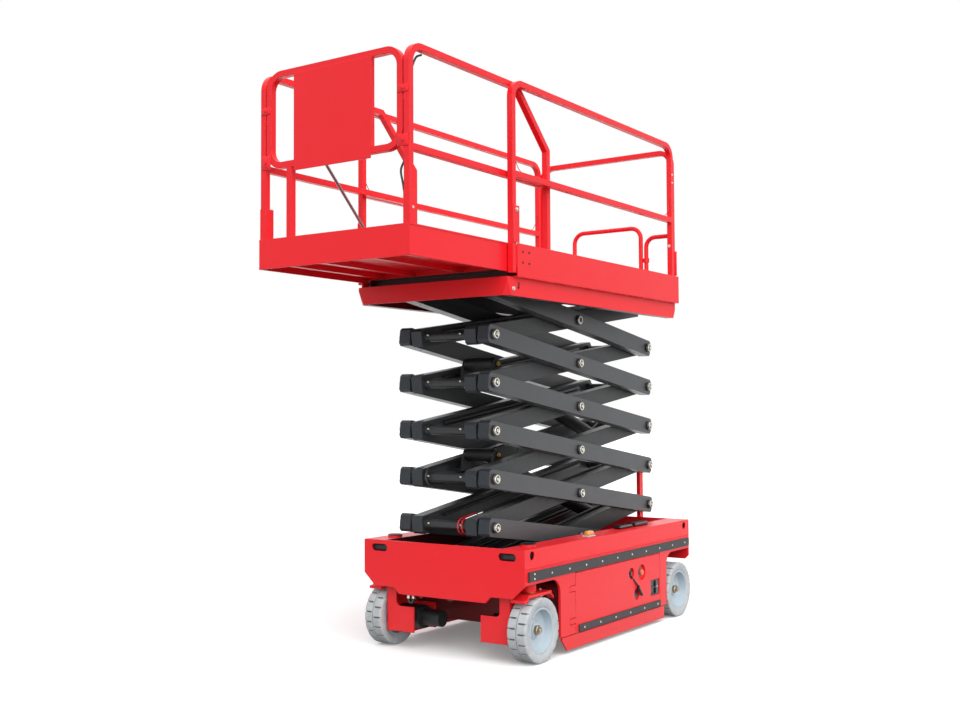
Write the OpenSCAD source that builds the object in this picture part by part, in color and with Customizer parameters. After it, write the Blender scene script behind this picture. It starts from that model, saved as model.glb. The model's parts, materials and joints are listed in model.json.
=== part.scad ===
// Electric scissor lift with a roll-out extension deck, standing partly raised.
// Millimetres. +X points to the steered front end, +Y to the machine's left side, +Z up.
// Lengths along X are measured from the middle of the wheelbase and then moved so that
// the origin lies under the middle of the whole machine, on the floor.

/* [Chassis] */
// Width over the side plates and the tyres
chassis_w = 1190; // [1150:10:1260]
// Front plate's face ahead of the front wheel axis
front_overhang = 190; // [186:1:240]
// Rear plate's face behind the rear wheel axis
rear_overhang = 170; // [150:1:240]
// Room behind the rear pins of the lowered stack
rear_room = 100; // [90:1:160]
// Height of the chassis's upper rim
chassis_top = 674; // [650:1:720]
// Height of the side beams
beam_h = 114; // [90:1:120]
// Width of the side beams
beam_w = 160; // [140:1:165]
// Wall of the side beams
beam_wall = 8; // [5:1:14]
// Thickness of the front and rear plates
plate_t = 12; // [8:1:20]
// Thickness of the tub's floor and of its side walls
tub_t = 8; // [6:1:12]
// Height of the tub's floor above the ground
tub_floor = 414; // [412:1:418]
// Thickness of the side skirts and of the doors
skirt_t = 16; // [8:1:24]
// Height of the skirts' lower edge
skirt_low = 115; // [110:1:130]
// Skirt between a door and the front wheel's arch
front_pillar = 175; // [150:1:220]
// Skirt between a door and the rear wheel's arch
rear_pillar = 104; // [80:1:160]
// Wheel arch's edge from the wheel axis
arch_reach = 210; // [204:1:240]
// Wheel arch's top above the tyre
arch_room = 89; // [80:1:100]
// Round upper corner of the wheel arches
arch_r = 90; // [60:1:110]
// Height at which the front plate's lower corners start
front_corner_z = 467; // [440:1:500]
// Height at which the rear plate's lower corners start
rear_corner_z = 416; // [400:1:460]
// Height of the lower edge of the front and rear plates, between the wheels
plate_low = 351; // [330:1:370]
// Half of that lower edge's length
plate_low_half = 321; // [280:1:340]
// Gap between a door and its frame
door_gap = 4; // [3:0.5:8]
// Height of the black side strips
strip_h = 58; // [40:1:62]
// How far the side strips stand out
strip_t = 12; // [8:1:20]
// Diameter of the round lashing holes in the side beams
lash_d = 50; // [40:1:60]
// Length and height of the lashing slots in the front and rear plates
slot_size = [122, 44]; // [30:1:140]
// Height of the pothole guards
guard_h = 85; // [70:1:90]
// Thickness of the pothole guards
guard_t = 12; // [8:1:16]
// Ground clearance under the lowered guards
guard_low = 25; // [15:1:40]

/* [Wheels] */
// Diameter of the solid tyres
wheel_d = 381; // [360:1:384]
// Width of the tyres
tyre_w = 127; // [100:1:140]
// Diameter of the rims under the tyres
rim_d = 268; // [240:1:290]
// Diameter of the stub axles
axle_d = 50; // [40:1:60]
// King pin's axis in from the outside of the tyre
king_inset = 95; // [90:1:110]
// Diameter of the king pins
king_d = 60; // [50:1:70]
// Outside diameter of the king pin tubes
king_tube_d = 92; // [80:1:100]
// Length of the steering arms
steer_arm = 130; // [120:1:140]
// Diameter of the drive motors
motor_d = 144; // [120:1:170]
// Length of a drive motor
motor_len = 174; // [140:1:180]
// Length of the cap on the left motor and of the brake on the right one
motor_tail = [46, 140]; // [40:1:150]
// Length and width of a yoke's flat top plate ahead of, behind and beside the king pin
yoke_top_size = [110, 140, 75]; // [60:1:150]
// Yoke's front gusset plate ahead of the axle, and its inner edge from the machine's middle
gusset_at = [123, 250]; // [110:1:270]
// Lower and upper edge of the gusset plates
gusset_z = [112, 268]; // [100:1:290]

/* [Scissor stack] */
// Arm length between the end pins
arm_len = 2046; // [1990:1:2050]
// Angle of the arms above level, as they stand
rest_angle = 8.05; // [6:0.05:10]
// Depth of the arm's box section
arm_h = 112; // [100:1:114]
// Width of the arm's box section
arm_w = 80; // [60:1:84]
// Wall of the arm's box section
arm_wall = 6; // [4:0.5:10]
// Arm's end beyond the pin
arm_end = 53; // [45:1:54]
// Bevel at the arm's ends
arm_bevel = 16; // [12:1:24]
// Gap between an outer and an inner arm
arm_gap = 14; // [10:1:18]
// Room between the stack and the tub's walls, for the slide blocks
track_room = 92; // [90:1:110]
// Diameter of the arm pins
pin_d = 40; // [34:1:46]
// Diameter of the pin collars
collar_d = 64; // [56:1:70]
// Diameter of the sleeves that carry the pins inside the arms
sleeve_d = 62; // [54:1:70]
// Diameter of the cross tubes between the inner arms
cross_d = 58; // [50:1:66]
// Front pin column ahead of the front wheel axis
pin_ahead = 106; // [95:1:115]
// Height of the lowest pins
base_pin_z = 496; // [490:1:510]
// Running clearance round pins and shafts, on the radius
run_gap = 0.06; // [0.03:0.01:0.1]
// Gap between faces that slide past each other
slide_gap = 0.3; // [0.2:0.05:0.5]

/* [Lift cylinders] */
// Outside diameter of the barrels
barrel_d = 96; // [80:1:104]
// Bore of the barrels
barrel_bore = 80; // [66:1:84]
// Diameter of the rods
rod_d = 56; // [44:1:60]
// Barrel's gland short of the rod pivot, with both pivots level
gland_gap = 146; // [120:1:170]
// Rod's piston short of the barrel pivot, with both pivots level
piston_gap = 156; // [120:1:170]
// Barrel pivot from the rear pin column, along the arm
barrel_inset = 200; // [195:1:215]
// Barrel pivot below the arm's middle line
barrel_drop = 60; // [55:1:70]
// Rod pivot from the front pin column, along the arm
rod_inset = 370; // [340:1:400]
// Rod pivot above the arm's middle line
rod_rise = 75; // [60:1:90]
// Width of the barrel eyes
eye_w = 96; // [80:1:100]
// Room between a rod's cross head and the inner arms
head_room = 59; // [50:1:70]
// Thickness of the cylinder brackets' cheeks
cheek_t = 15; // [10:1:20]

/* [Platform] */
// Deck's rear edge behind the rear pins of the level stack
deck_tail = 2; // [0:1:40]
// Deck length ahead of the front pin column
deck_ahead = 120; // [100:1:140]
// Deck width over the toe boards
deck_w = 1170; // [1150:2:1200]
// Top of the deck floor above the top pins
floor_rise = 80; // [80:1:90]
// Thickness of the deck's sheet metal
sheet_t = 6; // [4:1:8]
// Height of the toe boards above the gutter
toe_h = 188; // [170:1:200]
// Depth of the lower frame below the gutter
frame_h = 108; // [95:1:120]
// Cut lower corners of the lower frame's front
frame_cut = [40, 90]; // [20:1:100]
// Width of the gutter beside the floor, in which the extension runs
gutter_w = 70; // [64:1:76]
// Gutter's depth below the floor
gutter_d = 45; // [40:1:50]
// Side of the square rail tubes
tube = 36; // [30:1:38]
// Bend radius of the rail tubes, to the tube's middle
bend_r = 90; // [70:5:110]
// Top of the guard rails above the floor
rail_h = 1100; // [1050:5:1150]
// Middle of the mid rails above the floor
mid_rail_h = 546; // [500:2:580]

/* [Extension deck] */
// Travel of the extension deck
ext_travel = 900; // [800:10:920]
// Extension's length ahead of the main deck when rolled in
ext_nose = 46; // [42:1:80]
// Extension's sides behind the main deck's front edge
ext_tail = 461; // [420:1:480]
// Gap between the extension's sides and the toe boards
ext_side_gap = 43; // [42:1:46]
// Height of the extension's toe boards
ext_toe_h = 167; // [150:1:180]
// Height of the ribs under the extension's floor
rib_h = 30; // [20:1:36]
// Gap between the front frame and the posts of the extension's side rails
gate_gap = 9; // [8:1:30]
// Height of the front frame
gate_h = 550; // [500:2:580]
// Width and height of the plain front panel
panel_size = [551, 543]; // [480:1:600]

/* [Hidden] */
$fn = 48;

red = "#E03038";
dark_red = "#9C1822";
charcoal = "#3C4044";
steel = "#B8BABC";
black = "#222426";
tyre_grey = "#B9BDC0";
rim_grey = "#BCC8D2";

// Chassis lines
wheelbase = arm_len + rear_room - pin_ahead - rear_overhang;
axle_x = wheelbase / 2;
front_x = axle_x + front_overhang;
rear_x = -axle_x - rear_overhang;
half_w = chassis_w / 2;
wheel_r = wheel_d / 2;
wheel_in = half_w - tyre_w;
beam_low = chassis_top - beam_h;
beam_in = half_w - beam_w;
wall_in = beam_in - tub_t;
king_y = half_w - king_inset;
door_front = axle_x - arch_reach - front_pillar;
door_rear = -axle_x + arch_reach + rear_pillar;
door_len = door_front - door_rear;
strip_low = beam_low - 14 - strip_h;
door_top = strip_low - 4;
arch_top = wheel_d + arch_room;
plate_foot = wheel_d + 8;
hinge_r = skirt_t / 2;
hinge_pin_r = 4;
hinge_x = door_front + 56;
hinge_y = half_w - hinge_r;
hinge_z = [skirt_low + 76, door_top - 96];
tab_h = 32;
tab_gap = 4;
strip_bevel = [5, 7];
latch_x = door_rear + 349;
socket_at = [door_rear + 75, skirt_low + 141];
socket_size = [135, 106];
backing_t = 6;

// Pothole guard lines
guard_y = half_w - 28;
guard_z = skirt_low - 3;
guard_top = guard_low + guard_h;
guard_out = half_w - 2;
guard_lean = 5;
guard_cut = 68;
guard_front = axle_x - 228;
guard_rear = -axle_x + 242;
guard_pin_r = 5;
knuckle_r = 9;
knuckle_len = 40;
lug_t = 10;
lug_r = 11;
guard_lug_x = [door_rear - knuckle_len / 2 - lug_t - 5, guard_front - 66];

// Battery tray and power pack
block_front = axle_x - 335;
block_rear = -axle_x + 285;
block_in = 60;
block_out = half_w - skirt_t - 40;

// Steering lines
yoke_top = wheel_d + 7;
yoke_t = 18;
yoke_side = wheel_in - 12;
yoke_wall = 16;
gusset_t = 12;
gusset_neck = 72;
gusset_fillet = 28;
tongue_drop = 24;
tongue_len = 55;
lip_run = [50, 40];
rear_gusset_x = 88;
axle_tip = half_w - 42;
yoke_neck = 50;
tie_room = 20;
tie_x = axle_x - steer_arm;
tie_r = 10;
tie_z = yoke_top - 1.5 - tie_r;
tie_pin_r = 8;

// Scissor lines
pin_x = axle_x + pin_ahead;
pitch = arm_len * sin(rest_angle);
span = arm_len * cos(rest_angle);
pin_r = pin_d / 2;
bore_r = pin_r + run_gap;
outer_y = wall_in - track_room;
outer_in = outer_y - arm_w;
inner_y = outer_in - arm_gap;
inner_in = inner_y - arm_w;
collar_t = 12;
head_t = 8;
top_pin_z = base_pin_z + 6 * pitch;

// Slide block and track lines
block_y = outer_y + collar_t + head_t + 7;
block_w = 50;
block_h = 90;
block_len = 100;
flange_t = 10;
track_rear = pin_x - arm_len - 60;
track_front = pin_x - arm_len * cos(66) + 140;

// Cylinder lines, worked out in the side view from the two arms that carry each cylinder
function level_z(k) = base_pin_z + k * pitch;
function on_inner(k, p) = [pin_x + p[0] * cos(rest_angle) + p[1] * sin(rest_angle),
                           level_z(k) - p[0] * sin(rest_angle) + p[1] * cos(rest_angle)];
barrel_at = [-(arm_len - barrel_inset), -barrel_drop];
rod_at = [-rod_inset, rod_rise];
cylinder_run = on_inner(2, rod_at) - on_inner(0, barrel_at);
cylinder_angle = atan2(cylinder_run[1], cylinder_run[0]);
cylinder_len = norm(cylinder_run);
barrel_len = arm_len - barrel_inset - rod_inset - gland_gap;
rod_len = arm_len - barrel_inset - rod_inset - piston_gap;
eye_r = 45;
cheek_gap = 3;
cheek_in = max(eye_w, barrel_d) / 2 + cheek_gap;
cheek_r = 38;
head_half = inner_in - head_room;
head_r = eye_r - 5;
bracket_len = 160;
bracket_t = 20;

// Platform lines
floor_z = top_pin_z + floor_rise;
deck_front = pin_x + deck_ahead;
deck_rear = pin_x - arm_len - deck_tail;
deck_y = deck_w / 2;
gutter_z = floor_z - gutter_d;
floor_y = deck_y - gutter_w;
frame_y = deck_y - 30;
frame_z = gutter_z - sheet_t - frame_h;
frame_front = deck_front + 64;
frame_rear = deck_rear + 34;
rail_y = deck_y - sheet_t - tube / 2;
rail_z = floor_z + rail_h - tube / 2;
mid_z = floor_z + mid_rail_h;
post_front = deck_front + 4 + tube / 2;
post_rear = deck_rear + 77;
rear_rail_x = deck_rear + sheet_t + tube / 2 + 3;
rear_post_y = deck_y - 40;
rear_rail_z = rail_z - 25;
hoop_r = 16;
hoop_y = 341;
gate_far_y = -265;
gate_near_y = 297;
hoop_z = mid_z - 22;

// Extension lines
ext_front = deck_front + ext_nose + ext_travel;
ext_rear = deck_front - ext_tail;
ext_y = deck_y - sheet_t - ext_side_gap;
ext_low = gutter_z + 23;
ext_top = ext_low + ext_toe_h;
ext_sheet = 5;
ext_floor = floor_z + ext_sheet + rib_h + slide_gap;
ext_floor_rear = deck_front - 11;
ext_rail_y = ext_y - sheet_t - tube / 2;
ext_post_front = ext_front - sheet_t - tube / 2;
ext_post_rear = ext_rear + 20;
ext_slope_front = deck_front - 103;
ext_slope_low = rail_z - 320;
gate_x = ext_post_front;
gate_w = 2 * (ext_rail_y - tube / 2 - gate_gap);
gate_top = rail_z + tube / 2 - 15;
gate_leg_y = -315;

// Rear end of the ladder, and the shift that brings the whole machine's middle to the origin
ladder_depth = 50;
ladder_half = 205;
ladder_low = 260;
ladder_top = 1060;
middle_x = (ext_front + rear_x - ladder_depth) / 2;

// A cable's points along its arm: two turns round the front cross tube, then back inside the near arm
cable_r = 5;
cable_turn = 46;
cable_sag = 4.6;
cable_y = [92, 148];
function cable_turn_at(a) =
    [cable_turn * sin(a), cable_y[0] + (cable_y[1] - cable_y[0]) * a / 720, cable_turn * cos(a) - cable_sag];
red_cable_points = concat(
    [[-190, 84, 34], [-150, 86, 40], [-110, 88, 43], [-70, 90, 43], [-35, 91.5, 42]],
    [for (a = [0 : 30 : 720]) cable_turn_at(a)],
    [[-35, 151, 41.4], [-80, 154, 41], [-140, 155.6, 40], [-220, 155.6, 40], [-320, 155.6, 40],
     [-440, 155.6, 40], [-580, 155.6, 40], [-740, 155.6, 40], [-900, 155.6, 40], [-1080, 155.6, 40],
     [-1260, 155.6, 40], [-1440, 155.6, 40], [-1620, 155.6, 40], [-1760, 155.6, 40], [-1860, 155.6, 40]]);

// A hose's points along its arm: forward inside the far arm, round the front cross tube, back below
hose_r = 6;
hose_turn = 52;
black_hose_points = concat(
    [[-1200, -154.6, 44], [-1000, -154.6, 44], [-800, -154.6, 44], [-620, -154.6, 44], [-460, -154.6, 44],
     [-330, -154.6, 45], [-220, -154, 47], [-140, -152, 49], [-80, -149, 51], [-40, -145, 52]],
    [for (a = [0 : 20 : 180]) [hose_turn * sin(a), -141 + a / 12, hose_turn * cos(a)]],
    [[-35, -122, -54], [-75, -120, -56], [-120, -120, -54], [-180, -123, -49], [-250, -130, -44],
     [-340, -141, -42], [-460, -152, -42], [-620, -154.6, -42], [-800, -154.6, -42], [-980, -154.6, -42]]);

module placed() translate([-middle_x, 0, 0]) children();

module both_sides() {
    children();
    mirror([0, 1, 0]) children();
}

// A box between two corners
module block(low, high) translate(low) cube(high - low);

// A round bar along Y between two places
module bar_y(r, y0, y1) translate([0, y0, 0]) rotate([-90, 0, 0]) cylinder(r = r, h = y1 - y0);

// A slot with round ends, centred, in the flat
module slot_2d(length, height) {
    square([length - height, height], center = true);
    for (s = [-1, 1]) translate([s * (length - height) / 2, 0]) circle(d = height);
}

// A flat outline drawn in Y and Z, made solid along X from x0 to x1
module along_x(x0, x1) translate([x0, 0, 0]) rotate([90, 0, 90]) linear_extrude(x1 - x0) children();

// A flat outline drawn in X and Z, made solid along Y from y0 to y1
module along_y(y0, y1) translate([0, y1, 0]) rotate([90, 0, 0]) linear_extrude(y1 - y0) children();

// A round tube swept along points that run roughly in X and Z, closed at both ends
function unit(v) = v / norm(v);
function ring(p, t, r, sides) =
    let (u = unit(cross(t, [0, 1, 0])), w = cross(u, t))
    [for (i = [0 : sides - 1]) p + r * (cos(360 * i / sides) * u + sin(360 * i / sides) * w)];

module cord_tube(points, r) {
    sides = 10;
    n = len(points);
    rings = [for (i = [0 : n - 1])
        each ring(points[i], unit(points[min(i + 1, n - 1)] - points[max(i - 1, 0)]), r, sides)];
    polyhedron(rings, concat(
        [[for (i = [0 : sides - 1]) i]],
        [for (k = [0 : n - 2], i = [0 : sides - 1])
            let (a = k * sides, j = (i + 1) % sides) [a + i, a + sides + i, a + sides + j, a + j]],
        [[for (i = [sides - 1 : -1 : 0]) (n - 1) * sides + i]]));
}

// Chassis

module end_outline(corner_z, foot_y) {
    step = plate_foot - plate_low;
    polygon([[-half_w, chassis_top], [half_w, chassis_top], [half_w, corner_z], [foot_y, plate_foot],
             [plate_low_half + step, plate_foot], [plate_low_half, plate_low], [-plate_low_half, plate_low],
             [-plate_low_half - step, plate_foot], [-foot_y, plate_foot], [-half_w, corner_z]]);
}

module lashing_slots() {
    for (s = [-1, 1]) translate([s * (half_w - 121), chassis_top - 47]) slot_2d(slot_size[0], slot_size[1]);
}

module end_plate(x, corner_z, foot_y) along_x(x, x + plate_t) difference() {
    end_outline(corner_z, foot_y);
    lashing_slots();
}

module end_plates() color(red) {
    end_plate(front_x - plate_t, front_corner_z, half_w - 85);
    end_plate(rear_x, rear_corner_z, half_w - 27);
}

// Box beams along both sides, with the king pin tubes welded through them
module side_beam() {
    difference() {
        union() {
            difference() {
                block([rear_x + plate_t, beam_in, beam_low], [front_x - plate_t, half_w, chassis_top]);
                block([rear_x, beam_in + beam_wall, beam_low + beam_wall],
                      [front_x, half_w - beam_wall, chassis_top - beam_wall]);
            }
            translate([axle_x, king_y, yoke_top + yoke_t + 4])
                cylinder(d = king_tube_d, h = chassis_top + 8 - yoke_top - yoke_t);
        }
        translate([axle_x, king_y, 0]) cylinder(r = king_d / 2 + run_gap, h = chassis_top + 20);
        for (x = [front_x - 82, rear_x + 82])
            translate([x, half_w, chassis_top - 38]) bar_y(lash_d / 2, -beam_wall - 1, 1);
    }
}

module side_beams() color(red) both_sides() side_beam();

// Track of C section beside the arms, open towards the middle
module slide_track(z) {
    for (s = [-1, 1])
        block([track_rear, block_y - 2, z + s * (block_h / 2 + slide_gap + flange_t / 2) - flange_t / 2],
              [track_front, wall_in, z + s * (block_h / 2 + slide_gap + flange_t / 2) + flange_t / 2]);
}

// Tub that holds the scissor stack: floor, side walls, slide tracks, front pivot blocks and rear axles
module chassis_tub() color(dark_red) union() {
    block([rear_x + plate_t, -beam_in, tub_floor], [front_x - plate_t, beam_in, tub_floor + tub_t]);
    both_sides() {
        block([rear_x + plate_t, wall_in, tub_floor], [front_x - plate_t, beam_in, chassis_top]);
        slide_track(base_pin_z);
        pivot_block();
        rear_axle();
    }
}

module pivot_block() difference() {
    block([pin_x - 50, outer_in, tub_floor + tub_t], [pin_x + 50, outer_y, base_pin_z + 50]);
    translate([pin_x, outer_in, base_pin_z]) bar_y(bore_r, -1, arm_w + 1);
}

// Lower side skirts, cut out for the wheels and the doors
module skirt_outline() difference() {
    translate([rear_x + plate_t, skirt_low]) square([front_x - rear_x - 2 * plate_t, beam_low - skirt_low]);
    translate([door_rear, 0]) square([door_len, door_top]);
    for (z = hinge_z) translate([door_front - 1, z - tab_h / 2 - tab_gap])
        square([hinge_x + hinge_r + tab_gap - door_front + 1, tab_h + 2 * tab_gap]);
    arch_cut(axle_x - arch_reach, 1);
    arch_cut(-axle_x + arch_reach, -1);
}

// Opening over a wheel, from the given edge outwards, with a round upper corner
module arch_cut(x, dir) {
    over = rear_overhang + front_overhang + arch_reach;
    translate([x, 0]) {
        translate([dir > 0 ? arch_r : -arch_r - over, 0]) square([over, arch_top]);
        translate([dir > 0 ? 0 : -arch_r, 0]) square([arch_r, arch_top - arch_r]);
        translate([dir * arch_r, arch_top - arch_r]) circle(r = arch_r);
    }
}

module hinge_heights() for (z = hinge_z) translate([hinge_x, hinge_y, z]) children();

// Skirt with the door's hinge pins in its notches and the guard's lugs on its inner side
module side_skirt() {
    along_y(half_w - skirt_t, half_w) skirt_outline();
    hinge_heights() cylinder(r = hinge_pin_r, h = tab_h + 2 * tab_gap + 20, center = true);
    for (x = guard_lug_x) translate([x, 0, 0]) {
        for (s = [-1, 1]) translate([s * (knuckle_len / 2 + slide_gap + lug_t / 2), 0, 0]) guard_lug();
        along_x(-knuckle_len / 2 - lug_t, knuckle_len / 2 + lug_t)
            translate([guard_y, guard_z]) circle(r = guard_pin_r);
    }
}

module guard_lug() along_x(-lug_t / 2, lug_t / 2) {
    translate([guard_y, guard_z]) circle(r = lug_r);
    translate([guard_y - lug_r, guard_z]) square([half_w - skirt_t + 1 - guard_y + lug_r, 24]);
}

module side_skirts() color(red) both_sides() side_skirt();

// Battery tray on one side and hydraulic power pack on the other, each one plain block
module energy_blocks() color(black) both_sides()
    block([block_rear, block_in, skirt_low + 15], [block_front, block_out, tub_floor]);

module rub_strips() color(black) both_sides() along_x(rear_x + 24, front_x - 36) {
    out = half_w + strip_t;
    top = strip_low + strip_h;
    polygon([[half_w, strip_low], [out - strip_bevel[0], strip_low], [out, strip_low + strip_bevel[1]],
             [out, top - strip_bevel[1]], [out - strip_bevel[0], top], [half_w, top]]);
}

module rear_axle() {
    block([-axle_x - 90, beam_in - 20, wheel_r - 80], [-axle_x + 90, beam_in, tub_floor + 1]);
    translate([-axle_x, 0, wheel_r]) bar_y(axle_d / 2, beam_in - 1, axle_tip);
}

// Steps at the rear, for climbing to the entry gate
module rear_ladder() color(red) union() {
    both_sides() difference() {
        block([rear_x - ladder_depth, ladder_half - 28, ladder_low], [rear_x, ladder_half, ladder_top]);
        for (z = [ladder_low + 90 : 205 : ladder_top - 150])
            translate([rear_x - ladder_depth / 2, ladder_half, z])
                along_y(-40, 10) rotate(90) slot_2d(140, 16);
    }
    for (z = [ladder_low + 45 : 250 : ladder_top])
        translate([rear_x - ladder_depth / 2, 0, z]) bar_y(14, -ladder_half + 14, ladder_half - 14);
}

// Doors, with hinge tabs, three round latch holes and a socket's recess
module door_outline() difference() {
    union() {
        translate([door_rear + door_gap, skirt_low + 3])
            square([door_len - 2 * door_gap, door_top - skirt_low - 3 - door_gap]);
        for (z = hinge_z) translate([door_front - door_gap - 1, z - tab_h / 2])
            square([hinge_x - door_front + door_gap + 1, tab_h]);
    }
    translate([latch_x + 75, door_top - 96]) circle(d = 75);
    translate([latch_x - 75, door_top - 104]) circle(d = 105);
    translate([latch_x, door_top - 240]) circle(d = 78);
    translate([socket_at[0] - socket_size[0] / 2, socket_at[1] - socket_size[1] / 2]) square(socket_size);
}

module door_body() difference() {
    union() {
        along_y(half_w - skirt_t, half_w) door_outline();
        along_y(half_w - skirt_t - backing_t, half_w - skirt_t) {
            translate([socket_at[0] - socket_size[0] / 2 - 7, socket_at[1] - socket_size[1] / 2 - 20])
                square([socket_size[0] + 14, socket_size[1] + 40]);
            translate([latch_x - 150, door_top - 300]) square([280, 270]);
        }
        hinge_heights() cylinder(r = hinge_r, h = tab_h, center = true);
    }
    hinge_heights() cylinder(r = hinge_pin_r + slide_gap, h = tab_h + 2, center = true);
}

module left_door() color(red) door_body();
module right_door() color(red) mirror([0, 1, 0]) door_body();

// Hinged plates under the skirts, hanging down while the platform is up
module guard_leaf() difference() {
    along_x(guard_rear, guard_front)
        polygon([[guard_out - guard_lean - guard_t, guard_low], [guard_out - guard_lean, guard_low],
                 [guard_out, guard_top], [guard_out - guard_t, guard_top]]);
    along_y(guard_y, half_w + 1)
        polygon([[guard_front + 1, guard_low - 1], [guard_front - guard_cut - 1, guard_low - 1],
                 [guard_front + 1, guard_low + guard_cut + 1]]);
}

module guard_knuckle() difference() {
    along_x(-knuckle_len / 2, knuckle_len / 2) {
        translate([guard_y, guard_z]) circle(r = knuckle_r);
        translate([guard_y, guard_top - 14]) square([guard_out - guard_t + 1 - guard_y, 13]);
    }
    along_x(-knuckle_len, knuckle_len) translate([guard_y, guard_z]) circle(r = guard_pin_r + run_gap);
}

module guard() {
    guard_leaf();
    for (x = guard_lug_x) translate([x, 0, 0]) guard_knuckle();
}

module left_guard() color(red) guard();
module right_guard() color(red) mirror([0, 1, 0]) guard();

// Steering yokes: king pin, bent top plate over the tyre, gusset plates, side plate with the stub axle
module yoke() {
    side_in = yoke_side - yoke_wall;
    difference() {
        union() {
            translate([axle_x, king_y, yoke_top]) cylinder(d = king_d, h = chassis_top - 20 - yoke_top);
            block([axle_x - yoke_top_size[1], side_in - 20, yoke_top],
                  [axle_x + yoke_top_size[0], king_y + yoke_top_size[2], yoke_top + yoke_t]);
            along_y(side_in, yoke_side) side_outline();
            translate([axle_x, 0, wheel_r]) bar_y(axle_d / 2, yoke_side - 1, axle_tip);
            along_y(king_y - 20, king_y + yoke_top_size[2]) tongue_outline();
            along_y(king_y + 25, king_y + yoke_top_size[2] - 15) lip_outline();
            along_x(axle_x + gusset_at[0], axle_x + gusset_at[0] + gusset_t) gusset_outline();
            block([axle_x - rear_gusset_x - gusset_t, gusset_at[1], gusset_z[0]],
                  [axle_x - rear_gusset_x, yoke_side, gusset_z[1]]);
        }
        translate([tie_x, king_y, 0]) cylinder(r = tie_pin_r + run_gap, h = chassis_top);
    }
}

// Side plate of a yoke, cut away at its upper rear corner for the tie rod
module side_outline() {
    front = axle_x + gusset_at[0] + 1;
    rear = axle_x - rear_gusset_x - 1;
    neck = axle_x - yoke_neck;
    step_z = tie_z - tie_r - tie_room;
    polygon([[rear, gusset_z[0]], [front, gusset_z[0]], [front, yoke_top + 1], [neck, yoke_top + 1],
             [neck, step_z], [rear, step_z]]);
}

// Front end of the top plate, stepped down to pass under the front plate
module tongue_outline() {
    x = axle_x + yoke_top_size[0];
    z = yoke_top;
    low = z - tongue_drop;
    polygon([[x - 1, z], [x + 22, low], [x + tongue_len, low], [x + tongue_len, low + yoke_t],
             [x + 26, low + yoke_t], [x, z + yoke_t], [x - 1, z + yoke_t]]);
}

// Rear lip of the top plate, bent down
module lip_outline() {
    x = axle_x - yoke_top_size[1];
    z = yoke_top;
    polygon([[x + 1, z], [x + 1, z + yoke_t], [x, z + yoke_t], [x - lip_run[0], z + yoke_t - lip_run[1]],
             [x - lip_run[0], z - lip_run[1]]]);
}

// Front gusset, wide below and with a neck up to the top plate
module gusset_outline() {
    neck = yoke_side - gusset_neck;
    difference() {
        union() {
            translate([gusset_at[1], gusset_z[0]])
                square([yoke_side - gusset_at[1], gusset_z[1] - gusset_z[0]]);
            translate([neck - gusset_fillet, gusset_z[0]])
                square([gusset_neck + gusset_fillet, gusset_z[1] + gusset_fillet - gusset_z[0]]);
            translate([neck, gusset_z[0]]) square([gusset_neck, yoke_top + 1 - gusset_z[0]]);
        }
        translate([neck - gusset_fillet, gusset_z[1] + gusset_fillet]) circle(r = gusset_fillet);
    }
}

module left_yoke() color(red) yoke();
module right_yoke() color(red) mirror([0, 1, 0]) yoke();

module motor(tail) translate([axle_x, 0, wheel_r]) {
    y = yoke_side - yoke_wall;
    bar_y(motor_d / 2, y - motor_len, y);
    bar_y(motor_d / 2 - 22, y - motor_len - tail, y - motor_len);
}

module left_motor() color(black) motor(motor_tail[0]);
module right_motor() color(black) mirror([0, 1, 0]) motor(motor_tail[1]);

module tie_rod() color(steel) union() {
    translate([tie_x, 0, tie_z]) bar_y(tie_r, -king_y, king_y);
    both_sides() translate([tie_x, king_y, tie_z]) {
        translate([0, 0, -tie_r]) cylinder(r = 18, h = 2 * tie_r);
        cylinder(r = tie_pin_r, h = yoke_t + tie_r + 8);
    }
}

// Wheels, drawn as they turn about Y, with the outside towards +Y
module tyre_ring() rotate([-90, 0, 0]) rotate_extrude($fn = 72) {
    shoulder = 14;
    seat = rim_d / 2 + 0.02;
    bead = rim_d / 2 + 14;
    half = tyre_w / 2;
    polygon([[seat, 6 - half], [bead, -half], [wheel_r - shoulder, -half], [wheel_r, shoulder - half],
             [wheel_r, half - shoulder], [wheel_r - shoulder, half], [bead, half], [seat, half - 6]]);
}

module rim_disc() rotate([-90, 0, 0]) rotate_extrude($fn = 72) {
    r = rim_d / 2;
    hub = 54;
    polygon([[axle_d / 2 + run_gap, -48], [hub, -48], [hub + 8, -14], [r - 22, -8], [r - 14, -tyre_w / 2 + 6],
             [r, -tyre_w / 2 + 6], [r, tyre_w / 2 - 6], [r - 12, tyre_w / 2 - 6], [r - 20, 6], [hub + 4, 2],
             [hub - 6, 12], [axle_d / 2 + run_gap, 12]]);
}

module wheel_at(front, left) {
    y = half_w - tyre_w / 2;
    mirror([0, left ? 0 : 1, 0]) translate([front ? axle_x : -axle_x, y, wheel_r]) children();
}

module tyre_front_left() color(tyre_grey) wheel_at(true, true) tyre_ring();
module tyre_front_right() color(tyre_grey) wheel_at(true, false) tyre_ring();
module tyre_rear_left() color(tyre_grey) wheel_at(false, true) tyre_ring();
module tyre_rear_right() color(tyre_grey) wheel_at(false, false) tyre_ring();
module rim_front_left() color(rim_grey) wheel_at(true, true) rim_disc();
module rim_front_right() color(rim_grey) wheel_at(true, false) rim_disc();
module rim_rear_left() color(rim_grey) wheel_at(false, true) rim_disc();
module rim_rear_right() color(rim_grey) wheel_at(false, false) rim_disc();

// Scissor stack. An arm is drawn level, from its front pin at the origin back along -X.

module arm_profile(inset) {
    b = max(arm_bevel - inset * 0.6, 1);
    f = arm_end - inset;
    r = -arm_len - arm_end + inset;
    h = arm_h / 2 - inset;
    polygon([[f, h - b], [f, b - h], [f - b, -h], [r + b, -h],
             [r, b - h], [r, h - b], [r + b, h], [f - b, h]]);
}

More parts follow.
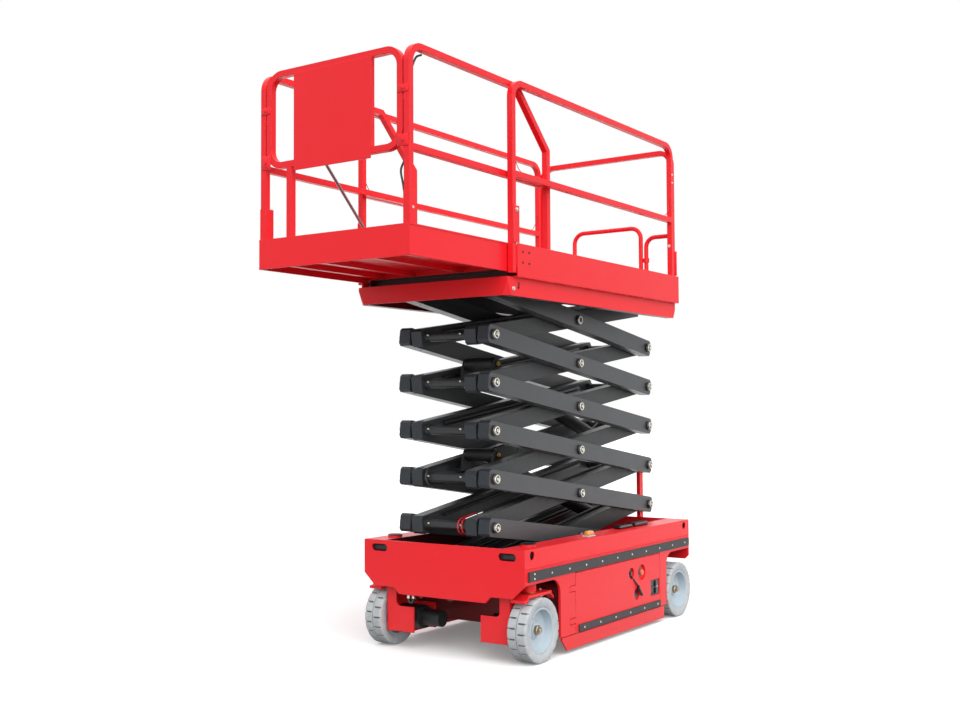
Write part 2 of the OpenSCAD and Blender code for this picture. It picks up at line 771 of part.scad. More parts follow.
// Hollow box arm with sleeved bores at both ends and in the middle, and drain holes below
module box_arm(y0) {
    difference() {
        union() {
            difference() {
                along_y(y0, y0 + arm_w) arm_profile(0);
                along_y(y0 + arm_wall, y0 + arm_w - arm_wall) arm_profile(arm_wall);
            }
            for (x = [0, -arm_len / 2, -arm_len])
                translate([x, 0, 0]) bar_y(sleeve_d / 2, y0 + arm_wall - 1, y0 + arm_w - arm_wall + 1);
        }
        for (x = [0, -arm_len / 2, -arm_len]) translate([x, 0, 0]) bar_y(bore_r, y0 - 1, y0 + arm_w + 1);
        for (x = [-120, 120 - arm_len])
            translate([x, y0 + arm_w / 2, -arm_h / 2 - 1]) cylinder(r = 8, h = arm_wall + 2);
    }
}

module cross_tube(x) translate([x, 0, 0]) difference() {
    union() {
        bar_y(cross_d / 2, -inner_in, inner_in);
        both_sides() bar_y(cross_d / 2 + 7, inner_in - 24, inner_in);
    }
    bar_y(bore_r, -inner_in - 1, inner_in + 1);
}

// Cheek plates of a barrel's bracket, from the rear cross tube to the pivot
module barrel_cheeks() {
    x = -arm_len;
    d = [barrel_at[0] - x, barrel_at[1]];
    both_sides() along_y(cheek_in, cheek_in + cheek_t) difference() {
        union() {
            translate([x, 0]) rotate(atan2(d[1], d[0])) translate([0, -cheek_r])
                square([norm(d), 2 * cheek_r]);
            translate(barrel_at) circle(r = cheek_r);
        }
        translate([x, 0]) circle(r = cross_d / 2 - 2);
        translate(barrel_at) circle(r = bore_r);
    }
}

// Three-cornered cheek plates of a rod's bracket, standing on ledges inside the arms
module rod_cheeks() both_sides() {
    y = head_half + cheek_gap;
    base = bracket_len / 2;
    shoulder = cheek_r * [cos(20), sin(20)] + [0, rod_at[1]];
    along_y(y, y + cheek_t) difference() {
        union() {
            translate([rod_at[0], 0]) polygon([[-base, 0], [base, 0], [shoulder[0], shoulder[1]],
                                               [-shoulder[0], shoulder[1]]]);
            translate(rod_at) circle(r = cheek_r);
        }
        translate(rod_at) circle(r = bore_r);
    }
    block([rod_at[0] - base, y, -bracket_t], [rod_at[0] + base, inner_in + 1, 1]);
}

module inner_frame(k) {
    both_sides() box_arm(inner_in);
    cross_tube(0);
    cross_tube(-arm_len);
    if (k == 0 || k == 2) barrel_cheeks();
    if (k == 2 || k == 4) rod_cheeks();
}

module on_arm(k) translate([pin_x, 0, level_z(k)]) rotate([0, rest_angle, 0]) children();

module inner_arms(k) color(charcoal) on_arm(k) inner_frame(k);

module outer_arms(k) color(charcoal) translate([pin_x, 0, level_z(k + 1)]) rotate([0, -rest_angle, 0])
    both_sides() box_arm(outer_in);

// Pin through both arms, with a thrust ring between them and a collar and head outside
module arm_pin() {
    bar_y(pin_r, inner_in + 2, outer_y + collar_t + head_t);
    bar_y(collar_d / 2 + 3, inner_y + slide_gap, outer_in - slide_gap);
    bar_y(collar_d / 2, outer_y + slide_gap, outer_y + collar_t);
}

module stage_pins(k) {
    both_sides() {
        arm_pin();
        translate([-arm_len / 2, 0, 0]) arm_pin();
        if (k < 5) translate([-arm_len, 0, 0]) arm_pin();
    }
    if (k == 0 || k == 2) translate([barrel_at[0], 0, barrel_at[1]])
        bar_y(pin_r, -cheek_in - cheek_t - head_t, cheek_in + cheek_t + head_t);
    if (k == 2 || k == 4) both_sides() translate([rod_at[0], 0, rod_at[1]])
        bar_y(pin_r, head_half + cheek_gap, head_half + cheek_gap + cheek_t + head_t);
}

module pins(k) color(steel) on_arm(k) stage_pins(k);

// Sliding block with the pin that carries it, lying level in its track
module slide_block(pin_in) {
    bar_y(pin_r, pin_in, block_y + 5);
    translate([-block_len / 2, block_y, -block_h / 2]) cube([block_len, block_w, block_h]);
}

module lower_slides() color(steel) translate([pin_x - span, 0, base_pin_z]) both_sides() {
    slide_block(outer_in + 2);
    bar_y(collar_d / 2, outer_y + slide_gap, block_y + 1);
}

module upper_slides() color(steel) translate([pin_x - span, 0, top_pin_z]) both_sides() {
    slide_block(inner_in + 2);
    bar_y(collar_d / 2, inner_y + slide_gap, block_y + 1);
}

module red_cable() color(red) on_arm(1) cord_tube(red_cable_points, cable_r);
module black_hose() color(black) on_arm(2) cord_tube(black_hose_points, hose_r);

// Lift cylinders, drawn along +X from the barrel's eye
module along_rod(x0, x1, r) translate([x0, 0, 0]) rotate([0, 90, 0]) cylinder(r = r, h = x1 - x0);

module barrel() {
    bore_from = eye_r + 20;
    gland = barrel_len - 30;
    difference() {
        union() {
            bar_y(eye_r, -eye_w / 2, eye_w / 2);
            along_rod(0, barrel_len, barrel_d / 2);
        }
        along_rod(bore_from, gland, barrel_bore / 2);
        along_rod(bore_from, barrel_len + 1, rod_d / 2 + run_gap);
        bar_y(bore_r, -barrel_d, barrel_d);
    }
}

// Rod with its piston and the cross head that turns between the bracket's cheeks
module rod() {
    piston = cylinder_len - rod_len;
    along_rod(piston, piston + 40, barrel_bore / 2 - run_gap);
    along_rod(piston, cylinder_len - 20, rod_d / 2);
    translate([cylinder_len, 0, 0]) bar_y(head_r, -head_half, head_half);
}

module cylinder_at(k) {
    p = on_inner(k, barrel_at);
    translate([p[0], 0, p[1]]) rotate([0, -cylinder_angle, 0]) children();
}

module lower_barrel() color(black) cylinder_at(0) barrel();
module upper_barrel() color(black) cylinder_at(2) barrel();
module lower_rod() color(steel) cylinder_at(0) rod();
module upper_rod() color(steel) cylinder_at(2) rod();

// Platform

// Pivot at the deck's front: a hanging block with a stub pin through the top outer arm
module deck_pivot() translate([pin_x, 0, top_pin_z]) {
    block([-45, inner_in, -50], [45, inner_y, floor_rise - sheet_t + 1]);
    bar_y(pin_r, inner_in, outer_y + collar_t + head_t);
    bar_y(collar_d / 2 + 3, inner_y, outer_in - slide_gap);
    bar_y(collar_d / 2, outer_y + slide_gap, outer_y + collar_t);
}

module deck_track() {
    slide_track(top_pin_z);
    block([track_rear, wall_in, top_pin_z - block_h / 2 - slide_gap - flange_t],
          [track_front, beam_in, floor_z - sheet_t + 1]);
}

module main_deck() color(dark_red) union() {
    block([deck_rear, -floor_y, floor_z - sheet_t], [deck_front, floor_y, floor_z]);
    both_sides() {
        block([deck_rear, floor_y - sheet_t, gutter_z - sheet_t], [deck_front, floor_y, floor_z]);
        block([deck_rear, floor_y - sheet_t, gutter_z - sheet_t], [deck_front, deck_y, gutter_z]);
        along_y(frame_y - sheet_t, frame_y) difference() {
            polygon([[frame_rear, frame_z], [frame_front - frame_cut[0], frame_z],
                     [frame_front, frame_z + frame_cut[1]], [frame_front, gutter_z - sheet_t],
                     [frame_rear, gutter_z - sheet_t]]);
            translate([deck_front - 55, frame_z + 62]) rotate(90) slot_2d(42, 20);
        }
        block([frame_rear, frame_y - 55, frame_z], [frame_front - frame_cut[0], frame_y, frame_z + sheet_t]);
        block([frame_rear, frame_y - 55, frame_z], [frame_rear + sheet_t, frame_y, gutter_z - sheet_t]);
        deck_pivot();
        deck_track();
        for (x = [deck_front - 60, ext_rear + 20])
            block([x, floor_y + 5, gutter_z], [x + 50, floor_y + 22, ext_low - slide_gap]);
    }
    along_x(frame_front - sheet_t, frame_front)
        polygon([[-frame_y, gutter_z - sheet_t], [frame_y, gutter_z - sheet_t],
                 [frame_y, frame_z + frame_cut[1]], [frame_y - frame_cut[0], frame_z],
                 [frame_cut[0] - frame_y, frame_z], [-frame_y, frame_z + frame_cut[1]]]);
    block([frame_front - 70, -frame_y, gutter_z - 2 * sheet_t], [frame_front, frame_y, gutter_z - sheet_t]);
    block([deck_front - 46, -floor_y, gutter_z - 2 * sheet_t], [deck_front - 46 + sheet_t, floor_y, floor_z]);
}

// Toe boards along both sides and across the rear
module deck_sides() color(red) union() {
    both_sides() block([deck_rear, deck_y - sheet_t, gutter_z], [deck_front, deck_y, gutter_z + toe_h]);
    along_x(deck_rear, deck_rear + sheet_t) {
        translate([-deck_y, floor_z]) square([deck_w, gutter_z + toe_h - floor_z]);
        for (y = [-deck_y, floor_y]) translate([y, gutter_z]) square([gutter_w, gutter_d + 1]);
    }
}

// Quarter bend of square tube, turning from +X to +Z about the bend's middle
module bend() rotate([90, 0, 0]) rotate_extrude(angle = 90, $fn = 48)
    translate([bend_r, 0]) square(tube, center = true);

module tube_x(x0, x1) translate([x0, -tube / 2, -tube / 2]) cube([x1 - x0, tube, tube]);
module tube_z(z0, z1) translate([-tube / 2, -tube / 2, z0]) cube([tube, tube, z1 - z0]);

// Inverted U of square tube in X and Z, from x0 to x1, with its top at the tube's middle z
module hoop(x0, x1, low0, low1, z) {
    translate([x0, 0, 0]) tube_z(low0, z - bend_r);
    translate([x1, 0, 0]) tube_z(low1, z - bend_r);
    translate([0, 0, z]) tube_x(x0 + bend_r, x1 - bend_r);
    translate([x1 - bend_r, 0, z - bend_r]) bend();
    translate([x0 + bend_r, 0, z - bend_r]) mirror([1, 0, 0]) bend();
}

module main_rail() translate([0, rail_y, 0]) {
    hoop(post_rear, post_front, gutter_z, gutter_z + 15, rail_z);
    translate([0, 0, mid_z]) tube_x(post_rear, post_front);
    block([deck_front - 130, tube / 2 - sheet_t, gutter_z + 50],
          [post_front, tube / 2, gutter_z + toe_h - 18]);
}

module main_rails() color(red) both_sides() main_rail();

// Round tube hoop in Y and Z at the entry: legs, two bends and a top
module round_hoop(y0, y1, low, z, r_bend) {
    for (y = [y0, y1]) translate([0, y, low]) cylinder(r = hoop_r, h = z - r_bend - low);
    translate([0, 0, z]) bar_y(hoop_r, y0 + r_bend, y1 - r_bend);
    translate([0, y1 - r_bend, z - r_bend]) rotate([90, 0, 90])
        rotate_extrude(angle = 90) translate([r_bend, 0]) circle(r = hoop_r);
    translate([0, y0 + r_bend, z - r_bend]) mirror([0, 1, 0]) rotate([90, 0, 90])
        rotate_extrude(angle = 90) translate([r_bend, 0]) circle(r = hoop_r);
}

module rear_rail() color(red) translate([rear_rail_x, 0, 0]) union() {
    rotate([0, 0, 90]) hoop(-rear_post_y, rear_post_y, gutter_z, gutter_z, rear_rail_z);
    translate([0, hoop_y, floor_z]) cylinder(r = hoop_r, h = hoop_z - 80 - 70 - floor_z);
    translate([0, hoop_y + 70, hoop_z - 150]) mirror([0, 1, 0]) rotate([90, 0, 90]) rotate_extrude(angle = 90)
        translate([70, 0]) circle(r = hoop_r);
    translate([0, 0, hoop_z - 80]) bar_y(hoop_r, hoop_y + 70, rear_post_y - 5);
}

// Entry gate, a hoop carried on two sleeves round the fixed half hoop's leg
module entry_gate() color(red) translate([rear_rail_x, 0, 0]) difference() {
    union() {
        round_hoop(gate_far_y, gate_near_y, gutter_z + toe_h + 14, hoop_z, 80);
        for (z = [gutter_z + toe_h + 30, gutter_z + toe_h + 120]) {
            translate([0, hoop_y, z]) cylinder(r = hoop_r + 6, h = 30);
            block([-6, gate_near_y, z], [6, hoop_y - hoop_r, z + 30]);
        }
    }
    translate([0, hoop_y, 0]) cylinder(r = hoop_r + run_gap, h = floor_z + rail_h);
}

// Extension deck

module extension_deck() color(red) union() {
    block([ext_front - sheet_t, -ext_y, ext_low], [ext_front, ext_y, ext_top]);
    both_sides() block([ext_rear, ext_y - sheet_t, ext_low], [ext_front, ext_y, ext_top]);
    block([ext_floor_rear, -ext_y, ext_floor - ext_sheet], [ext_front, ext_y, ext_floor]);
    block([ext_floor_rear, -ext_y, floor_z + slide_gap], [ext_floor_rear + sheet_t, ext_y, ext_floor]);
    for (y = [-ext_y + 120, -ext_y / 3, ext_y / 3, ext_y - 120])
        block([ext_floor_rear, y - 20, floor_z + slide_gap], [ext_front, y + 20, ext_floor]);
}

// Extension side rail: front post, top rail, sloping rear part and rear post
module extension_rail() translate([0, ext_rail_y, 0]) {
    translate([ext_post_front, 0, 0]) tube_z(ext_floor, rail_z - bend_r);
    translate([ext_post_front - bend_r, 0, rail_z - bend_r]) bend();
    along_y(-tube / 2, tube / 2) sloping_outline();
    translate([0, 0, mid_z]) tube_x(ext_post_rear, ext_post_front);
}

// Top rail, slope and rear post as one outline, mitred at its two corners
module sloping_outline() {
    slope = atan2(rail_z - ext_slope_low, ext_slope_front - ext_post_rear);
    turn_top = slope / 2;
    turn_low = (90 - slope) / 2;
    top = [ext_slope_front, rail_z];
    low = [ext_post_rear, ext_slope_low];
    to_top = tube / 2 / cos(turn_top) * [sin(turn_top), -cos(turn_top)];
    to_low = tube / 2 / cos(turn_low) * [cos(turn_low), -sin(turn_low)];
    foot = floor_z + 6;
    end = ext_post_front - bend_r;
    polygon([[end, rail_z - tube / 2], top + to_top, low + to_low, [low[0] + tube / 2, foot],
             [low[0] - tube / 2, foot], low - to_low, top - to_top, [end, rail_z + tube / 2]]);
}

module extension_rails() color(red) both_sides() extension_rail();

// Rounded frame across the front, with one leg and clips to the side rails' posts
module front_gate() color(red) translate([gate_x, 0, 0]) rotate([0, 0, 90]) {
    half = gate_w / 2 - tube / 2;
    top = gate_top - tube / 2;
    low = gate_top - gate_h + tube / 2;
    hoop(-half, half, low + bend_r, low + bend_r, top);
    translate([0, 0, low + top]) mirror([0, 0, 1]) hoop(-half, half, low + bend_r, low + bend_r, top);
    translate([gate_leg_y, 0, 0]) tube_z(ext_floor, low);
    for (s = [-1, 1]) translate([s * (half + ext_rail_y) / 2, 0, (top + low) / 2])
        cube([gate_gap, 24, 40], center = true);
}

module front_panel() color(red) block([gate_x + tube / 2, -panel_size[0] / 2, gate_top - 32 - panel_size[1]],
                                      [gate_x + tube / 2 + 3, panel_size[0] / 2, gate_top - 32]);

// Grey diagonal brace of the right extension rail
module rail_brace() color(steel) {
    y = -ext_rail_y + tube / 2;
    p0 = [ext_post_front - 120, rail_z];
    p1 = [ext_rear + 300, ext_top - 60];
    d = p1 - p0;
    translate([p0[0], y + 10, p0[1]]) rotate([0, 90 - atan2(d[1], d[0]), 0]) cylinder(r = 9, h = norm(d));
    translate([p0[0], 0, p0[1]]) bar_y(12, y, y + 20);
    translate([p1[0], 0, p1[1]]) bar_y(12, -ext_y + sheet_t, y + 20);
}

placed() end_plates();
placed() side_beams();
placed() chassis_tub();
placed() side_skirts();
placed() energy_blocks();
placed() rub_strips();
placed() rear_ladder();
placed() left_door();
placed() right_door();
placed() left_guard();
placed() right_guard();
placed() left_yoke();
placed() right_yoke();
placed() left_motor();
placed() right_motor();
placed() tie_rod();
placed() tyre_front_left();
placed() tyre_front_right();
placed() tyre_rear_left();
placed() tyre_rear_right();
placed() rim_front_left();
placed() rim_front_right();
placed() rim_rear_left();
placed() rim_rear_right();
placed() inner_arms(0);  // inner_arms_0
placed() inner_arms(1);  // inner_arms_1
placed() inner_arms(2);  // inner_arms_2
placed() inner_arms(3);  // inner_arms_3
placed() inner_arms(4);  // inner_arms_4
placed() inner_arms(5);  // inner_arms_5
placed() outer_arms(0);  // outer_arms_0
placed() outer_arms(1);  // outer_arms_1
placed() outer_arms(2);  // outer_arms_2
placed() outer_arms(3);  // outer_arms_3
placed() outer_arms(4);  // outer_arms_4
placed() outer_arms(5);  // outer_arms_5
placed() pins(0);  // pins_0
placed() pins(1);  // pins_1
placed() pins(2);  // pins_2
placed() pins(3);  // pins_3
placed() pins(4);  // pins_4
placed() pins(5);  // pins_5
placed() lower_barrel();
placed() lower_rod();
placed() upper_barrel();
placed() upper_rod();
placed() lower_slides();
placed() upper_slides();
placed() red_cable();
placed() black_hose();
placed() main_deck();
placed() deck_sides();
placed() main_rails();
placed() rear_rail();
placed() entry_gate();
placed() extension_deck();
placed() extension_rails();
placed() front_gate();
placed() front_panel();
placed() rail_brace();
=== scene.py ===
# %% [markdown]
# # Dressing a red electric scissor lift
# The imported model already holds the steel: chassis, six scissor stages, platform, rails and wheels, each on
# its own moving body. This lesson adds what the eye looks for next: paint, tread, bolts, fittings and light.
# New shapes are grids of points worked out with numpy, so every number below is a real size in metres.

# %% Load the frame
import json
import math

import bmesh
import bpy
import numpy as np
from mathutils import Matrix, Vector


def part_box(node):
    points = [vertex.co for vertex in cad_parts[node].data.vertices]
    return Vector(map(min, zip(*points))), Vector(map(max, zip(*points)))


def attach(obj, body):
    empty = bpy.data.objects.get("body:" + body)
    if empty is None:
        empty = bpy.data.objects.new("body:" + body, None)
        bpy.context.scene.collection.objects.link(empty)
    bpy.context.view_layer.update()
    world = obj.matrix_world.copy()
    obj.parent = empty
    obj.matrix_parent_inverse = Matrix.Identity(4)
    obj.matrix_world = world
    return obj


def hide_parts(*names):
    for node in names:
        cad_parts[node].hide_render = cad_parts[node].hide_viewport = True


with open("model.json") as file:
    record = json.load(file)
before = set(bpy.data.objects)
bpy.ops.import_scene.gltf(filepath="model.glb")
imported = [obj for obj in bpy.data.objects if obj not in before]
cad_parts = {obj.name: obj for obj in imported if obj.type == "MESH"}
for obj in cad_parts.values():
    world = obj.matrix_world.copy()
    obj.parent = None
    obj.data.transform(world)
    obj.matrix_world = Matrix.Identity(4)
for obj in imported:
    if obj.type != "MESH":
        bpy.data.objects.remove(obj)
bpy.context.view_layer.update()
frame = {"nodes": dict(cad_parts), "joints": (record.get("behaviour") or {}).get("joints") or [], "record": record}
nodes = frame["nodes"]
joint_at = {j["name"]: np.array(j["pos_m"]) for j in frame["joints"]}


# %% [markdown]
# ## Places on the machine
# Nothing is typed twice: the places of pins, plates and wheels are read from the frame's joints and boxes.
# A box gives the lowest and the highest corner of a node as it stands.

# %% Read the places
def corners(node):
    """Lowest and highest corner of a node, as numpy arrays in metres."""
    low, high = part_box(node)
    return np.array(low), np.array(high)


MM = 0.001
SIDES = (("left", 1), ("right", -1))
ENDS = ("front", "rear")
lift_pin = joint_at["lift"]
pitch = joint_at["stage_1"][2] - lift_pin[2]
front_pin_x = lift_pin[0]
rear_pin_x = joint_at["stage_1"][0]
rest_angle = math.atan2(pitch, front_pin_x - rear_pin_x)
arm_len = math.hypot(pitch, front_pin_x - rear_pin_x)
pin_end_y = corners("pins_0")[1][1]
outer_arm_y = corners("outer_arms_0")[1][1]
inner_arm_y = corners("inner_arms_1")[1][1]
wheel_mid_x = (joint_at["wheel_front_left"][0] + joint_at["wheel_rear_left"][0]) / 2
print("stage pitch", round(float(pitch), 4), "m, arm", round(arm_len, 3), "m, pins end at",
      round(float(pin_end_y), 3))


def on_inner(stage, along, across, over):
    """Place on an inner arm: along it from the front pin, across the machine and over its middle line."""
    c, s = math.cos(rest_angle), math.sin(rest_angle)
    level = lift_pin[2] + pitch * stage
    return np.array([front_pin_x + along * c + over * s, across, level - along * s + over * c])


def on_outer(stage, along, across, over):
    """The same on an outer arm, which leans the other way from the pin one stage up."""
    c, s = math.cos(rest_angle), math.sin(rest_angle)
    level = lift_pin[2] + pitch * (stage + 1)
    return np.array([front_pin_x + along * c - over * s, across, level + along * s + over * c])


# %% [markdown]
# ## Shapes as grids
# A surface is a grid of points: rows run along one parameter and columns along the other. One function lists
# the faces of such a grid, and a few more make grids by turning a profile or carrying it along a path.

# %% Grid helpers
def quads(rows, cols, wrap_rows=False, wrap_cols=False):
    """Faces of a rows by cols grid: each joins a point with its next neighbour along both directions."""
    r = np.arange(rows if wrap_rows else rows - 1)
    c = np.arange(cols if wrap_cols else cols - 1)
    row, col = np.meshgrid(r, c, indexing="ij")
    row_next, col_next = (row + 1) % rows, (col + 1) % cols
    face = [row * cols + col, row * cols + col_next, row_next * cols + col_next, row_next * cols + col]
    return np.stack(face, axis=-1).reshape(-1, 4)


def turned(profile, sides=32, phase=0.0):
    """Profile of (radius, height) pairs turned about Z: point = (r cos a, r sin a, h), a in equal steps."""
    radius, height = np.asarray(profile, float).T
    angle = phase + np.linspace(0, 2 * math.pi, sides, endpoint=False)
    x = radius[:, None] * np.cos(angle)
    y = radius[:, None] * np.sin(angle)
    z = np.repeat(height[:, None], sides, axis=1)
    return np.stack([x, y, z], axis=-1).reshape(-1, 3), quads(len(radius), sides, wrap_cols=True)


def turned_mm(profile, sides=32):
    """The same for a profile in millimetres."""
    return turned(np.asarray(profile, float) * MM, sides)


def swept(path, outline, side):
    """Closed outline, or one for each point, carried along a path: point = path + u across + v over, with
    across square to the path and near to the side vector. Both ends are drawn together to close them."""
    path = np.asarray(path, float)
    outline = np.asarray(outline, float)
    outline = np.broadcast_to(outline, (len(path), *outline.shape[-2:]))
    along = np.gradient(path, axis=0)
    along /= np.linalg.norm(along, axis=1, keepdims=True)
    side = np.asarray(side, float)
    across = side - along * (along @ side)[:, None]
    across /= np.linalg.norm(across, axis=1, keepdims=True)
    over = np.cross(along, across)
    ring = outline[:, :, :1] * across[:, None, :] + outline[:, :, 1:] * over[:, None, :]
    ring = np.concatenate([ring[:1] * 0, ring, ring[-1:] * 0])
    middle = np.concatenate([path[:1], path, path[-1:]])
    points = middle[:, None, :] + ring
    return points.reshape(-1, 3), quads(len(middle), outline.shape[1], wrap_cols=True)


def circle(radius, sides=12):
    """Round outline with equal steps."""
    angle = np.linspace(0, 2 * math.pi, sides, endpoint=False)
    return radius * np.stack([np.cos(angle), np.sin(angle)], axis=-1)


def bevelled(width, height, bevel):
    """Rectangular outline about the origin with its four corners cut off by the bevel."""
    w, h = width / 2, height / 2
    return np.array([(w, bevel - h), (w, h - bevel), (w - bevel, h), (bevel - w, h),
                     (-w, h - bevel), (-w, bevel - h), (bevel - w, -h), (w - bevel, -h)])


def bar(start, end, width, height, bevel, side=(0, 1, 0)):
    """Straight bar with bevelled edges and ends: the outline is drawn in by the bevel at both ends."""
    start, end = np.asarray(start, float), np.asarray(end, float)
    along = (end - start) / np.linalg.norm(end - start)
    full = bevelled(width, height, bevel)
    small = full * [1 - 2 * bevel / width, 1 - 2 * bevel / height]
    path = [start, start + along * bevel, end - along * bevel, end]
    return swept(path, np.stack([small, full, full, small]), side)


def plate(low, high, bevel=1 * MM):
    """Flat plate or block between two corners, with bevelled edges."""
    low, high = np.minimum(low, high), np.maximum(low, high)
    size = high - low
    middle = (low + high) / 2
    bevel = min(bevel, 0.4 * float(size.min()))
    return bar([low[0], *middle[1:]], [high[0], *middle[1:]], size[1], size[2], bevel)


def smooth(points, steps=8):
    """Curve through points: between two of them, the cubic whose end slopes are half the chord between the
    neighbours on both sides."""
    p = np.asarray(points, float)
    p = np.concatenate([2 * p[:1] - p[1:2], p, 2 * p[-1:] - p[-2:-1]])
    a, b, c, d = (p[i:len(p) - 3 + i, None] for i in range(4))
    t = np.linspace(0, 1, steps, endpoint=False)[None, :, None]
    cubic = 2 * b + (c - a) * t + (2 * a - 5 * b + 4 * c - d) * t ** 2 + (3 * b - a - 3 * c + d) * t ** 3
    return np.concatenate([cubic.reshape(-1, 3) / 2, p[-2:-1]])


def wire(points, radius, sides=10):
    """Round wire, cable or hose along a smooth curve through points."""
    return swept(smooth(points), circle(radius, sides), (0.31, 0.83, 0.47))


def stood(shape, at, axis):
    """Shape moved to a place, with its Z turned to the axis."""
    points, faces = shape
    axis = np.asarray(axis, float) / np.linalg.norm(axis)
    helper = np.array([0.0, 0, 1]) if abs(axis[2]) < 0.9 else np.array([1.0, 0, 0])
    across = np.cross(helper, axis)
    across /= np.linalg.norm(across)
    turn = np.stack([across, np.cross(axis, across), axis])
    return points @ turn + np.asarray(at, float), faces


def joined(shapes):
    """Several shapes as one: points in a row, face numbers moved on by the points before them."""
    starts = np.cumsum([0] + [len(points) for points, _ in shapes[:-1]])
    points = np.concatenate([points for points, _ in shapes])
    faces = np.concatenate([faces + start for (_, faces), start in zip(shapes, starts)])
    return points, faces


made = {}
SHARP_EDGE = math.radians(38)


def piece(name, shapes, body, slot, material=None):
    """One mesh object from shapes: welded, faces outwards, smooth but for sharp edges, riding on a body. Its
    material is the slot's own finish unless another is given."""
    points, faces = joined(shapes)
    mesh = bpy.data.meshes.new(name)
    mesh.from_pydata(points.tolist(), [], faces.tolist())
    work = bmesh.new()
    work.from_mesh(mesh)
    bmesh.ops.remove_doubles(work, verts=work.verts, dist=1e-6)
    bmesh.ops.recalc_face_normals(work, faces=work.faces)
    work.to_mesh(mesh)
    work.free()
    mesh.polygons.foreach_set("use_smooth", np.ones(len(mesh.polygons), bool))
    mesh.set_sharp_from_angle(angle=SHARP_EDGE)
    mesh.materials.append(material or FINISH[slot])
    obj = bpy.data.objects.new(name, mesh)
    bpy.context.scene.collection.objects.link(obj)
    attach(obj, body)
    made[name] = len(mesh.polygons)
    return obj


print("grid helpers ready")

# %% [markdown]
# ## Materials
# Each finish starts from what the real one is. Colours are written as sRGB hex values, as a paint card gives
# them, and one function turns them to the linear numbers that the shader expects.

# %% Colour and node helpers
def linear(hex_colour):
    """sRGB hex to linear RGBA: below 0.04045 divide by 12.92, above raise (c + 0.055) / 1.055 to 2.4."""
    c = np.array([int(hex_colour[i:i + 2], 16) for i in (1, 3, 5)]) / 255
    lin = np.where(c <= 0.04045, c / 12.92, ((c + 0.055) / 1.055) ** 2.4)
    return (*lin.tolist(), 1.0)


def add(tree, kind, settings=None, links=None):
    """Adds a node: settings are its own properties or its inputs' values, links are input: socket."""
    node = tree.nodes.new(kind)
    for key, value in (settings or {}).items():
        if isinstance(key, str) and hasattr(node, key):
            setattr(node, key, value)
        else:
            node.inputs[key].default_value = value
    for key, socket in (links or {}).items():
        tree.links.new(socket, node.inputs[key])
    return node


def shader(name, settings):
    """New material with a Principled shader whose sockets are set, and its node tree."""
    material = bpy.data.materials.new(name)
    material.use_nodes = True
    tree = material.node_tree
    principled = tree.nodes["Principled BSDF"]
    for key, value in settings.items():
        principled.inputs[key].default_value = value
    return material, tree, principled


def per_mm(size):
    """Noise scale for a pattern whose features are about this many millimetres wide."""
    return 1000.0 / size


RED = "#EE1C27"
print("red as linear", [round(v, 3) for v in linear(RED)])

# %% [markdown]
# ### Enamel on steel
# The red and the grey are baked enamel sprayed on steel: an even colour with a faint orange peel, a little
# drift from panel to panel, and dust low down. The peel on a real panel is about 3 mm wide, too fine for a
# picture of the whole machine, so it is drawn 8 mm wide. Paint also rounds every edge, and the Bevel node
# turns the normals there, so that edges catch a thin line of light.

# %% Enamel
PEEL_MM = 8
DRIFT_MM = 420
DUST_MM = 60
DUST_MOST = 0.2
EDGE_MM = 5


def enamel(name, colour, shade, dust, roughness, gloss=0.32, dust_top=0.55):
    """Enamel: colour drifts towards a shade in wide clouds, dust gathers towards the floor in small ones."""
    material, tree, principled = shader(name, {"Roughness": roughness, "IOR": 1.5,
                                               "Specular IOR Level": gloss})
    place = add(tree, "ShaderNodeTexCoord").outputs["Object"]
    clouds = add(tree, "ShaderNodeTexNoise", {"Scale": per_mm(DRIFT_MM), "Detail": 3.0}, {"Vector": place})
    drift = add(tree, "ShaderNodeMix", {"data_type": "RGBA", 6: linear(colour), 7: linear(shade)},
                {0: clouds.outputs["Fac"]})
    height = add(tree, "ShaderNodeSeparateXYZ", {}, {0: place})
    low = add(tree, "ShaderNodeMapRange",
              {"From Min": dust_top, "From Max": 0.0, "To Min": 0.0, "To Max": DUST_MOST},
              {"Value": height.outputs["Z"]})
    specks = add(tree, "ShaderNodeTexNoise", {"Scale": per_mm(DUST_MM), "Detail": 6.0}, {"Vector": place})
    amount = add(tree, "ShaderNodeMath", {"operation": "MULTIPLY"},
                 {0: low.outputs["Result"], 1: specks.outputs["Fac"]})
    dusty = add(tree, "ShaderNodeMix", {"data_type": "RGBA", 7: linear(dust)},
                {0: amount.outputs[0], 6: drift.outputs[2]})
    tree.links.new(dusty.outputs[2], principled.inputs["Base Color"])
    rough = add(tree, "ShaderNodeMapRange", {"To Min": roughness - 0.05, "To Max": roughness + 0.12},
                {"Value": specks.outputs["Fac"]})
    tree.links.new(rough.outputs["Result"], principled.inputs["Roughness"])
    rounded = add(tree, "ShaderNodeBevel", {"samples": 4, "Radius": EDGE_MM * MM})
    peel = add(tree, "ShaderNodeTexNoise", {"Scale": per_mm(PEEL_MM), "Detail": 1.0}, {"Vector": place})
    bump = add(tree, "ShaderNodeBump", {"Strength": 0.04, "Distance": 0.001},
               {"Height": peel.outputs["Fac"], "Normal": rounded.outputs["Normal"]})
    tree.links.new(bump.outputs["Normal"], principled.inputs["Normal"])
    return material


